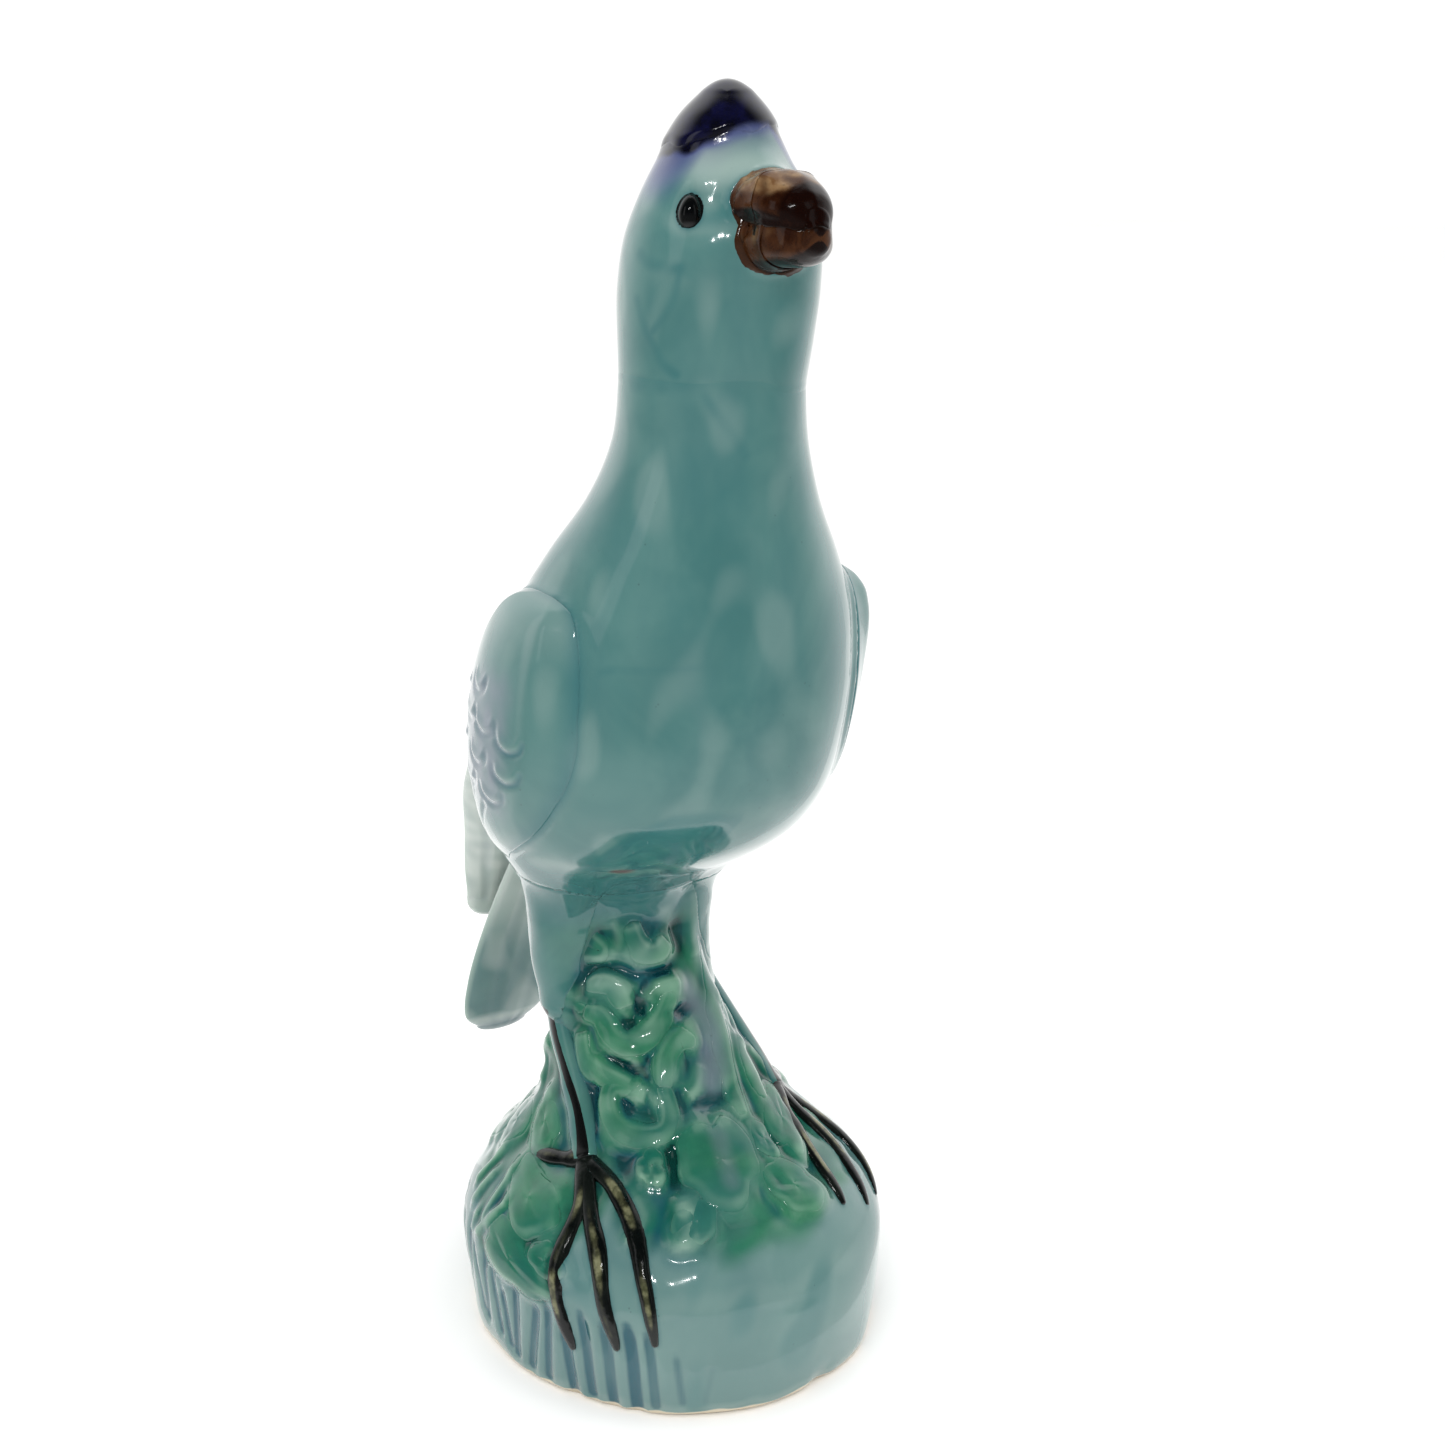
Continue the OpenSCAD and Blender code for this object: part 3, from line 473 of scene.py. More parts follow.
# ------------------------------------------------------------------ crest
def crest_rings():
    N = 200
    a = 360 * np.arange(N) / N
    phi = -90 - a                       # ring angle a of the CAD, in phi
    phi = (270 - a + 180) % 360 - 180
    edge = 191.0 + 1.6 * np.cos(np.radians(a + 60)) + .35 * np.sin(np.radians(5 * a)) + .2 * np.sin(np.radians(9 * a + 40))
    out = []
    for k in np.linspace(0, 1, 30):
        zz = edge + (198.2 - edge) * k
        o = -.55 + 1.05 * sm(k, 0, .30)
        q = HEADS.row(zz)
        q[..., 0] = zz
        out.append(HEADS.place(q, phi - HEAD_TURN, o))
    c = HEADS.row(np.array(198.2))[1:3]
    base = out[-1][:, :2] - c
    for t in np.linspace(.1, .96, 12):
        b0, b1, b2, b3 = (1 - t) ** 3, 3 * t * (1 - t) ** 2, 3 * t * t * (1 - t), t ** 3
        rr = b0 * 1 + b1 * .74 + b2 * .42
        zz = b0 * 198.2 + b1 * 199.15 + b2 * 200 + b3 * 200
        out.append(np.concatenate([c + base * rr, np.full((N, 1), zz)], 1))
    return np.array(out)


cr_rings = crest_rings()
inner_low = cr_rings[0].copy()
inner_low[:, :2] += (cr_rings[0][:, :2].mean(0) - inner_low[:, :2]) * .16
crest = capped("crest_glaze", "crest", "cobalt_glaze", np.concatenate([[inner_low], cr_rings]),
               np.append(cr_rings[0][:, :2].mean(0), 193), (2.2, -15.6, 200))


# ------------------------------------------------------------------ beak
def face_point(yaw, z, out=0.0):
    q = HEADS.row(np.array(float(z)))
    b, t = math.radians(yaw - 90), math.radians(HEAD_TURN)
    x, y = (q[3] + out) * math.cos(b), (q[4] + out) * math.sin(b)
    return np.array([q[1] + x * math.cos(t) - y * math.sin(t), q[2] + x * math.sin(t) + y * math.cos(t), z])


def mandible(name, node, z, hw, hh, ln, rows, drop, shape):
    o = face_point(0, z)
    d = unit(face_point(0, z, 1) - o)
    s = np.array([-d[1], d[0], 0])
    q = cr(rows, np.linspace(0, len(rows) - 1, 54))
    N = 96
    th = 2 * math.pi * np.arange(N) / N
    rings, par = [], []
    for r in q:
        reach = r[0] if r[0] < 0 else r[0] * ln
        c = o + d * reach + np.array([0, 0, r[3] * drop])
        x, y = np.cos(th), np.sin(th)
        m = shape(np.full(N, r[0]), th)
        rings.append(c + s * (hw * r[1] * x * m)[:, None] + np.array([0, 0, 1]) * (hh * r[2] * y * m)[:, None])
        par.append(np.stack([np.full(N, r[0]), th], -1))
    # a rounded tip
    r, c = q[-1], o + d * q[-1][0] * ln + np.array([0, 0, q[-1][3] * drop])
    end = o + d * (ln + .05) + np.array([0, 0, -drop * (.95 if drop > 0 else .4 / .6 * 1.0)])
    for t in (.35, .62, .82, .94):
        k = math.sqrt(1 - t * t)
        cc = c + (end - c) * t
        x, y = np.cos(th), np.sin(th)
        rings.append(cc + s * (hw * r[1] * x * k)[:, None] + np.array([0, 0, 1]) * (hh * r[2] * y * k)[:, None])
        par.append(np.stack([np.full(N, 1.), th], -1))
    p = capped(name, node, "brown_glaze", rings, o - d * 3.2, end)
    p.par = np.concatenate([np.array(par).reshape(-1, 2), [[-1, 0], [1, 0]]])
    return p


UPPER = [[-3, .9, .8, 0], [0, 1, .95, 0], [.3, 1, 1, 0], [.6, .88, .92, -.25], [.85, .62, .7, -.6], [.97, .34, .4, -.9]]
LOWER = [[-3, .9, .9, 0], [0, 1, 1, 0], [.35, .96, .95, .1], [.7, .8, .8, .2], [.92, .46, .48, .1]]


def upper_shape(t, th):
    y = np.sin(th)
    m = 1 - .05 * bell(np.abs(th - math.pi / 2), .35) * 0
    for side in (math.radians(52), math.radians(128)):       # nostril swellings on top
        m = m + .13 * np.exp(-((th - side) / .30) ** 2) * np.exp(-((t - .28) / .17) ** 2)
    m = m + .05 * np.exp(-((th - math.pi / 2) / .22) ** 2) * sm(t, .2, .5)
    m = m - .05 * np.exp(-((th - math.radians(205)) / .25) ** 2) - .05 * np.exp(-((th - math.radians(335)) / .25) ** 2)
    return m + .02 * np.sin(7 * t + 3 * th)


def lower_shape(t, th):
    return 1 + .03 * np.sin(6 * t + 2 * th) + .04 * np.cos(3 * th + 2 * t)


upper = mandible("beak_upper_glaze", "beak_upper", 183.6, 5.9, 4.4, 9.8, UPPER, 2.2, upper_shape)
lower = mandible("beak_lower_glaze", "beak_lower", 178.8, 5.4, 4.1, 9.8 * .9, LOWER, -.6, lower_shape)


# ------------------------------------------------------------------ eyes
def eye(name, node, side):
    p = face_point(side * 55, 182.3, -.7)
    d = unit(face_point(side * 55, 182.3, 1) - face_point(side * 55, 182.3, 0))
    N, K = 56, 30
    th = 2 * math.pi * np.arange(N) / N
    rings = []
    for k in range(1, K):
        v = math.pi * k / K
        # a bead drawn out a little to a corner below, and flattened where it meets the face
        r = math.sin(v)
        y, w = np.cos(th) * r, np.sin(th) * r
        lift = math.cos(v) * (1 if v < math.pi / 2 else .8)
        tall = 2.4 * (1 + .06 * w)
        wide = 1.7 * (1 - .10 * w)
        rings.append(np.stack([lift * 1.7 * np.ones(N), y * wide, w * tall], -1))
    R = Matrix.Rotation(math.atan2(d[1], d[0]), 3, "Z") @ Matrix.Rotation(math.radians(-16), 3, "Y")
    R = np.array(R)
    rings = np.array(rings) @ R.T + p
    return capped(name, node, "black_glaze", rings, R @ [1.7, 0, 0] + p, R @ [-1.36, 0, 0] + p)


eye_r = eye("eye_bead_right", "eye_right", -1)
eye_l = eye("eye_bead_left", "eye_left", 1)

# ------------------------------------------------------------------ wings: rows of [front phi, front z, rear phi, rear z]
WING = [[79, 126.4, 90, 126.6], [67.5, 124.8, 106, 125.4], [60, 120.4, 122, 119.8], [56, 113.8, 134, 112.8], [54.5, 104.3, 142, 104],
        [59, 96.6, 149, 96], [70, 88.6, 156, 88.5], [97, 79, 162, 81]]
SCALLOPS = [  # small covert feathers near the wing's outer part: centre, half width, droop
    [89, 107.5, 3.4, 1.6], [75.5, 106, 2.9, 1.4], [76, 101, 3.0, 1.5], [84, 96.5, 3.3, 1.6], [93, 102, 3.2, 1.6], [101, 97.5, 3.2, 1.6],
    [103, 108, 3.2, 1.6], [97, 113, 3.0, 1.5], [112, 103, 3.2, 1.6], [116, 111, 3.2, 1.5],
]


def wing(name, node, side):
    ns, nt = 150, 120
    s = np.linspace(0, 1, ns + 1)
    t = np.linspace(0, 1, nt + 1)
    rows = cr(WING, s * (len(WING) - 1))
    T, Sg = np.meshgrid(t, s)
    phi = rows[:, None, 0] + (rows[:, 2] - rows[:, 0])[:, None] * T
    z = rows[:, None, 1] + (rows[:, 3] - rows[:, 1])[:, None] * T
    h = 2.9 * sm(T, -.02, .20) ** .75 * (1 - sm(T, .78, 1.02)) ** .8 * sm(Sg, -.03, .22) ** .8 * (1 - sm(Sg, .62, 1.01)) ** .7
    if side > 0:
        h = h * (1 - .65 * sm(Sg, .28, .60))
    f, q = phi.ravel(), z.ravel()
    det, pool, thin = np.zeros(f.shape), np.zeros(f.shape), np.zeros(f.shape)
    inside = (sm(T, .02, .14) * (1 - sm(T, .9, .99)) * sm(Sg, .04, .14) * (1 - sm(Sg, .93, .995))).ravel()
    for c in SCALLOPS:
        w = c[2] / 28 * 57.3
        path = [[c[0] - w, c[1] + c[3] * .9], [c[0] - .8 * w, c[1] - .2 * c[3]], [c[0], c[1] - .8 * c[3]], [c[0] + .8 * w, c[1] - .2 * c[3]], [c[0] + w, c[1] + c[3] * .9]]
        d, al = BODYS.dist(f, q, path, 5)
        end = sm(al, 0, .2) * (1 - sm(al, .8, 1))
        det += .24 * bell(d, 1.5) * end
        thin = np.maximum(thin, .25 * bell(d, .8) * end)
        g, al2 = BODYS.dist(f, q, [[a, b - 1.05] for a, b in path], 5)
        det -= .34 * bell(g, 1.1) * end
        pool = np.maximum(pool, bell(g, .9) * end)
    # long flight feathers, from the middle of the wing to its tip
    for i, (a0, z0, a1, z1) in enumerate([(88, 94, 108, 80.5), (98, 95, 120, 80.8), (108, 96, 130, 81.2), (118, 98, 140, 81.6), (128, 101, 149, 82.4), (136, 104, 155, 85)]):
        d, al = BODYS.dist(f, q, [[a0, z0], [a0 * .62 + a1 * .38 + 2, z0 * .55 + z1 * .45], [a1, z1]], 4)
        e = sm(al, 0, .2)
        det -= .42 * bell(d, 1.1) * e
        pool = np.maximum(pool, .9 * bell(d, .9) * e)
    d, al = BODYS.dist(f, q, [[71, 122], [67, 112], [66, 102], [70, 93], [82, 86]], 6)      # the swelling behind the front rim
    det += .35 * bell(d, 3.4)
    h = h + .05 + (det * inside).reshape(h.shape)
    sphi = -side * phi
    top = BODYS.on(sphi, z, h)
    low = BODYS.on(sphi, z, np.full(h.shape, -.6))
    W = nt + 1
    o = (ns + 1) * W
    V = np.concatenate([top.reshape(-1, 3), low.reshape(-1, 3)])
    Q = [grid_faces(ns + 1, W, 0, False), grid_faces(ns + 1, W, o, False)[:, ::-1]]
    j = np.arange(nt)
    i = np.arange(ns)
    Q.append(np.stack([j, o + j, o + j + 1, j + 1], -1))
    b = ns * W + j
    Q.append(np.stack([b, b + 1, o + b + 1, o + b], -1))
    b = i * W
    Q.append(np.stack([b, b + W, o + b + W, o + b], -1))
    b = i * W + nt
    Q.append(np.stack([b, o + b, o + b + W, b + W], -1))
    p = Piece(name, node, "turquoise_glaze", V, np.concatenate(Q))
    for key, val in (("pool", pool * inside), ("thin", thin * inside)):
        a = np.zeros(len(V))
        a[:o] = val
        p.att[key] = a
    p.att["wing"] = np.ones(len(V))
    return p


wing_r = wing("wing_glaze_right", "wing_right", -1)
wing_l = wing("wing_glaze_left", "wing_left", 1)


# ------------------------------------------------------------------ feather bundles
def tangents(P):
    t = np.gradient(P, axis=0)
    return unit(t)


def blade(name, node, rows, tip, n, grooves, wavy=0.0, tip_cut=0.0):
    q = cr(rows, np.linspace(0, len(rows) - 1, n))
    C = q[:, :3]
    T = tangents(C)
    S = unit(np.cross(T, [0, 0, 1.0]))
    W = np.cross(S, T)
    N = 150
    a = 2 * math.pi * np.arange(N) / N
    x, y = np.cos(a), np.sin(a)
    rings, pool, thin = [], [], []
    for i in range(n):
        f = i / (n - 1)
        gr = np.zeros(N)
        for c, dep, w in grooves:
            gr += dep * bell(x - c * (1 - .25 * f), w) * sm(f, .12, .35)
        ht = q[i, 4] * (1 + wavy * np.sin(9 * f * 6.28 / 3 + 2 * x))
        px = np.sign(x) * np.abs(x) ** .92
        th = y * ht
        th = th - np.sign(y) * np.minimum(gr, np.abs(th) * .7)
        rings.append(C[i] + S[i] * (px * q[i, 3])[:, None] + W[i] * th[:, None])
        pool.append(gr / .35 * .8)
        thin.append(bell(np.abs(np.abs(x) - 1), .10) * sm(f, .2, .5))
    r, w = q[-1], T[-1]
    tip = np.asarray(tip, float)
    for t in (.3, .55, .75, .9, .98):
        k = math.sqrt(1 - t * t)
        cc = C[-1] + (tip - C[-1]) * t
        rings.append(cc + S[-1] * (x * q[-1, 3] * k)[:, None] + W[-1] * (y * q[-1, 4] * k)[:, None])
        pool.append(np.zeros(N))
        thin.append(np.ones(N) * .6)
    p = capped(name, node, "turquoise_glaze", rings, C[0] - T[0], tip)
    p.att["pool"] = np.append(np.array(pool).ravel(), [0, 0])
    p.att["thin"] = np.append(np.array(thin).ravel(), [0, 0])
    return p


TAIL = [[-2, 26, 92, 6, 2.2], [-2.8, 36.5, 76, 7, 2.2], [-3.8, 45.5, 61, 8, 2.1], [-4.6, 52, 49, 8.6, 2], [-5, 57.2, 38, 9, 1.9],
        [-5.2, 60.3, 30.5, 8.2, 1.5], [-5.3, 61.6, 27.4, 5.4, 1.1]]
COVERTS = [[-1.5, 20, 106, 10, 3], [-1.5, 28.5, 95, 10, 3], [-2, 37, 84, 8.5, 2.6], [-2.3, 43, 75.5, 5.5, 2]]
PRIM = [[-18, 21, 98, 6, 1.9], [-16, 31, 86, 6.4, 1.9], [-12.6, 41.5, 74, 6.2, 1.8], [-10.2, 49.3, 64, 5.8, 1.6], [-9.8, 53.4, 57, 4.6, 1.2]]
tail = blade("tail_glaze", "tail_feathers", TAIL, [-5.3, 62.4, 25.4], 150, [(-.42, .10, .2), (.02, .08, .2), (.46, .10, .2)], .03)
coverts = blade("covert_glaze", "tail_coverts", COVERTS, [-2.6, 48, 68.5], 90, [(-.5, .2, .2), (0, .2, .2), (.5, .2, .2)], .03)
prim_r = blade("primary_glaze_right", "primaries_right", PRIM, [-9.4, 56, 52], 110, [(-.4, .14, .25), (.3, .14, .25)], .02)
prim_l = blade("primary_glaze_left", "primaries_left", [[-r[0] - 4.4] + r[1:] for r in PRIM], [5, 56, 52], 110, [(-.3, .14, .25), (.4, .14, .25)], .02)


# ------------------------------------------------------------------ thighs, shanks, toes
THIGH = [[11, 9.5, 85, 6, 8], [11, 11, 76, 5.2, 7.5], [11.4, 12, 68, 4.8, 6.5], [11.8, 12, 61, 4, 5], [12, 11, 54, 2.6, 3.2]]


def thigh(name, node, side):
    r = cr(THIGH, np.linspace(0, 4, 80))[::-1]
    N = 110
    a = 2 * math.pi * np.arange(N) / N
    rings = [np.stack([side * q[0] - 3.2 + q[3] * np.cos(a), q[1] + q[4] * np.sin(a), np.full(N, q[2])], -1) for q in r]
    first, extra = rings[0], []
    for t in (.9, .7, .45, .2):
        k = math.sqrt(1 - t * t)
        c = first.mean(0)
        e = np.array([side * 12 - 3.2, 10.4, 52])
        extra.append(c + (e - c) * t + (first - c) * k)
    rings = np.array(extra + rings)
    rings = push(rings, (.22 * wave(rings.reshape(-1, 3), 11, 41)).reshape(rings.shape[:2]))
    return capped(name, node, "turquoise_glaze", rings, [side * 12 - 3.2, 10.4, 52], [side * 11 - 3.2, 9.5, 87])


thigh_r = thigh("thigh_glaze_right", "thigh_right", -1)
thigh_l = thigh("thigh_glaze_left", "thigh_left", 1)

SHANK_R = [[92, 57], [87, 51], [78, 46], [70, 40.5], [62, 34.5]]
SHANK_L = [[92, 57], [87, 51.5], [78, 47], [69, 42.5], [60, 38]]
TOES_R = [[[62, 34.5], [58, 29.5], [60, 22], [59, 16], [56, 10]], [[62, 34.5], [54, 29.5], [48, 25], [46, 18], [44, 12]],
          [[62, 34.5], [48, 32.5], [38, 28], [35, 22], [34, 13.5]], [[62, 34.5], [72, 33.5], [86, 32.5]]]
TOES_L = [[[60, 38], [50, 36.4], [43, 34], [38, 30], [34, 25.5]], [[60, 38], [58, 34.5], [56, 30], [49, 26], [45, 22.4]],
          [[60, 38], [67, 33.5], [68, 29], [62, 24.5], [56, 20.8]], [[60, 38], [72, 37], [86, 35.5]]]


def cord_on(path, side, n, radius, lift, flat, N=26):
    """a cord laid on the rock along [phi, z]; radius(t) and flat are its section"""
    q = cr(path, np.linspace(0, len(path) - 1, n))
    C = ROCK.on(-side * q[:, 0], q[:, 1], np.full(n, lift))
    up = ROCK.nrm(-side * q[:, 0], q[:, 1])
    T = tangents(C)
    S = unit(np.cross(T, up))
    W = np.cross(S, T)
    a = 2 * math.pi * np.arange(N) / N
    t = np.linspace(0, 1, n)
    r = radius(t)
    rings = C[:, None] + r[:, None, None] * (S[:, None] * np.cos(a)[None, :, None] + W[:, None] * (np.sin(a) * flat)[None, :, None])
    sgn = np.sign(np.sum(W * up, -1)).mean()
    top = np.broadcast_to(np.maximum(0, np.sin(a) * sgn), (n, N))
    along = np.broadcast_to(t[:, None], (n, N))
    across = np.broadcast_to(np.cos(a), (n, N))
    e0, e1 = C[0] - T[0] * r[0] * .6, C[-1] + T[-1] * r[-1] * .6
    return rings, e0, e1, top, along, across


def join(name, node, slot, parts):
    V, Q, T, o, att = [], [], [], 0, {}
    for rings, e0, e1, extra in parts:
        K, N = rings.shape[:2]
        v = np.concatenate([rings.reshape(-1, 3), [e0], [e1]])
        q = grid_faces(K, N)
        j = np.arange(N)
        fa = np.stack([(j + 1) % N, j, np.full(N, K * N)], -1)
        fb = np.stack([(K - 1) * N + j, (K - 1) * N + (j + 1) % N, np.full(N, K * N + 1)], -1)
        t = np.concatenate([fa, fb])
        tri = np.concatenate([q[:, [0, 1, 2]], q[:, [0, 2, 3]], t])
        if np.sum(np.cross(v[tri[:, 0]], v[tri[:, 1]]) * v[tri[:, 2]]) < 0:
            q, t = q[:, ::-1], t[:, ::-1]
        V.append(v), Q.append(q + o), T.append(t + o)
        for key, val in extra.items():
            att.setdefault(key, []).append(np.append(val.ravel(), [0, 0]))
        o += len(v)
    p = Piece(name, node, slot, np.concatenate(V), np.concatenate(Q), np.concatenate(T))
    p.att.update({k: np.concatenate(v) for k, v in att.items()})
    return p


def shank(name, node, side, path):
    rad = lambda t: 2.0 * (1.25 - .25 * t)
    R, a, b, top, al, ac = cord_on(path, side, 80, rad, .2, .6, 48)
    line = bell(ac - .1 * side + .05 * np.sin(al * 9), .44 + .16 * (1 - sm(al, 0, .3)) + .25 * sm(al, .8, 1)) * sm(top, .05, .3)
    rag = np.clip(.5 + np.sin(al * 90 + ac * 9) * .4 + np.sin(al * 41 + 1) * .4, 0, 1)
    line = line * (1 - (1 - rag) * (1 - sm(al, .12, .45))) * sm(al, .0, .05)
    return join(name, node, "turquoise_glaze", [(R, a, b, {"black": np.clip(line * 2.2, 0, 1), "olive": 0 * line})])


def toes(name, node, side, paths):
    parts = []
    for i, pth in enumerate(paths):
        n = 34 * (len(pth) - 1)
        m = len(pth)
        rad = lambda t: 1.35 * (1 - .68 * t ** 5) * (1 + .08 * np.sin(2 * math.pi * t * m / 2) + .05 * np.sin(17 * t + i))
        R, a, b, top, al, ac = cord_on(pth, side, n, rad, .25, .6, 32)
        oliv = bell(ac, .8) * sm(top, .2, .7) * np.clip(.6 + .7 * np.sin(al * 12 + i * 2), .25, 1) * sm(al, .12, .3) * (1 - sm(al, .8, .95))
        if i == 3:
            oliv = oliv * 0 + .35 * bell(ac, .8) * top
        parts.append((R, a, b, {"black": np.ones(al.shape), "olive": oliv}))
    return join(name, node, "black_glaze", parts)


shank_r = shank("shank_glaze_right", "shank_right", -1, SHANK_R)
shank_l = shank("shank_glaze_left", "shank_left", 1, SHANK_L)
toes_r = toes("toe_glaze_right", "toes_right", -1, TOES_R)
toes_l = toes("toe_glaze_left", "toes_left", 1, TOES_L)

# ------------------------------------------------------------------ scrolls and leaves
SCROLLS = [[[51, 68.5], [49, 66], [42, 64.2], [55, 63.6], [67, 62], [70, 59], [68, 56], [60, 54.6]],
           [[57, 54.3], [47, 54], [42, 51.3], [34, 50.4], [23, 51.4], [13, 53], [5, 55], [-6, 58.4]],
           [[34, 44.7], [47, 44.1], [52, 41.9], [50, 39.6], [44, 38.6], [35, 38.5], [26, 39.4], [22, 41.4], [22, 44.2]],
           [[63, 50.5], [62, 47.2], [55, 46], [46, 45.3], [39, 44.6]], [[16, 68], [13, 65], [8, 63.7], [-1, 63.5], [-9, 64.6]],
           [[54, 58.3], [43, 59.1], [34, 58.4], [31, 56]], [[20, 45], [14, 48.5], [4, 50.6], [-6, 50]],
           [[-54, 72], [-57, 67], [-55, 62], [-50, 57.5], [-43, 54.2], [-35, 52.2], [-30, 49.8], [-25, 47], [-20, 43.5], [-17, 39.5]],
           [[-45, 46.6], [-40, 45], [-39, 42], [-36, 39.5]]]
parts = []
for i, s in enumerate(SCROLLS):
    rad = lambda t: 1.75 * (.62 + .38 * np.sin(math.pi * t)) * (1 + .09 * np.sin(11 * t + i))
    R, a, b, top, al, ac = cord_on(s, -1, 22 * (len(s) - 1), rad, -.18, .50, 40)
    parts.append((R, a, b, {"thin": bell(ac + .55, .32) * sm(top, .2, .7) * (.75 + .25 * np.sin(al * 7 + i))}))
scrolls = join("scroll_glaze", "rock_scrolls", "green_glaze", parts)


def pad(l, seed):
    K, N = 30, 110
    a = 2 * math.pi * np.arange(N) / N
    rho = np.linspace(.03, 1.03, K)
    lob = 1 + .11 * np.cos(l[6] * a + seed) + .06 * np.sin((l[6] + 2) * a + 2 * seed) + .03 * np.cos((l[6] + 5) * a + seed)
    rr = 27.3
    rings, thin, pool = [], [], []
    la = math.radians(l[4])
    for r in rho:
        x, y = l[2] * r * lob * np.cos(a), l[3] * r * lob * np.sin(a)
        dx, dy = x * math.cos(la) - y * math.sin(la), x * math.sin(la) + y * math.cos(la)
        dome = .62 * max(0, 1 - min(r, 1) ** 3) ** .9
        dish = .86 + .14 * float(bell(r - .78, .34))
        tilt = np.clip(1 - .42 * dy / l[3], .5, 1.35)
        vein = -.14 * bell(y / l[3], .2) * bell(r - .35, .6)
        hgt = (l[5] * dome * dish * tilt if r <= 1 else np.full(N, -.6)) + vein * (r < .9)
        hgt = hgt + .09 * np.sin(3 * a + seed + 2.5 * r) * (r < .95)
        rings.append(ROCK.on(l[0] - dx * 57.3 / rr, l[1] + dy, hgt))
        thin.append(float(bell(r - .84, .16)) * np.clip(.35 - .75 * dy / l[3], .06, 1) * (.75 + .25 * np.sin(3 * a + seed)))
        pool.append(np.full(N, .35 * float(bell(r - .45, .4))) * (.6 + .4 * np.sin(a * 2 + seed)))
    rings = np.array(rings)
    return (rings, ROCK.on(np.array(float(l[0])), np.array(float(l[1])), np.array(l[5] * .62)), ROCK.on(np.array(float(l[0])), np.array(float(l[1])), np.array(-.8)),
            {"thin": np.array(thin), "pool": np.array(pool)})


leaves = join("leaf_glaze", "rock_leaves", "green_glaze", [pad(l, 1.7 * i) for i, l in enumerate(LEAVES)])

# ------------------------------------------------------------------ soft joins: the glaze fills every crease between two pieces
NEIGHBOURS = [  # piece, piece, width of the fillet, reach of the pooled glaze
    ("mound_glaze", "leaf_glaze", 2.8, 0), ("mound_glaze", "shank_glaze_right", 1.3, 1.2), ("mound_glaze", "shank_glaze_left", 1.3, 1.2),
    ("mound_glaze", "toe_glaze_right", .7, .8), ("mound_glaze", "toe_glaze_left", .7, .8), ("mound_glaze", "scroll_glaze", 3.0, 0),
    ("pillar_glaze", "body_glaze", 8.0, 0), ("pillar_glaze", "thigh_glaze_right", 6.0, 0), ("pillar_glaze", "thigh_glaze_left", 6.0, 0),
    ("pillar_glaze", "shank_glaze_right", 1.6, 1.2), ("pillar_glaze", "shank_glaze_left", 1.6, 1.2), ("pillar_glaze", "scroll_glaze", 3.2, 0),
    ("pillar_glaze", "leaf_glaze", 2.8, 0), ("body_glaze", "thigh_glaze_right", 9.0, 0), ("body_glaze", "thigh_glaze_left", 9.0, 0),
    ("thigh_glaze_right", "shank_glaze_right", 2.2, 0), ("thigh_glaze_left", "shank_glaze_left", 2.2, 0),
    ("body_glaze", "wing_glaze_right", 3.2, 1.6), ("body_glaze", "wing_glaze_left", 3.2, 1.6), ("body_glaze", "covert_glaze", 6.0, 1.5),
    ("body_glaze", "primary_glaze_right", 5.0, 0), ("body_glaze", "primary_glaze_left", 5.0, 0),
    ("wing_glaze_right", "primary_glaze_right", 4.5, 0), ("wing_glaze_left", "primary_glaze_left", 4.5, 0),
    ("covert_glaze", "tail_glaze", 3.0, 1.4), ("body_glaze", "tail_glaze", 3.0, 1.4), ("covert_glaze", "primary_glaze_right", 2.0, 1.4),
    ("covert_glaze", "primary_glaze_left", 2.0, 1.4), ("tail_glaze", "primary_glaze_right", 1.0, 1.2), ("tail_glaze", "primary_glaze_left", 1.0, 1.2),
    ("head_glaze", "beak_upper_glaze", 2.4, 1.0), ("head_glaze", "beak_lower_glaze", 2.4, 1.0), ("beak_upper_glaze", "beak_lower_glaze", 2.0, .9),
    ("head_glaze", "eye_bead_right", .35, .8), ("head_glaze", "eye_bead_left", .35, .8), ("head_glaze", "crest_glaze", .9, 0),
    ("toe_glaze_right", "shank_glaze_right", .8, 0), ("toe_glaze_left", "shank_glaze_left", .8, 0),
    ("leaf_glaze", "toe_glaze_right", .5, .7), ("leaf_glaze", "toe_glaze_left", .5, .7), ("leaf_glaze", "shank_glaze_right", .8, .8),
    ("leaf_glaze", "scroll_glaze", 2.0, 0), ("scroll_glaze", "shank_glaze_right", 1.2, 1.2), ("scroll_glaze", "thigh_glaze_right", 1.6, 1.2),
]


def sdist(tree, P, far):
    out = np.full(len(P), far)
    for i, p in enumerate(P):
        p = Vector(p)
        loc, nrm, _, d = tree.find_nearest(p, far)
        if loc is not None:
            out[i] = -d if (p - loc).dot(nrm) < -.7 * d else d
    return out


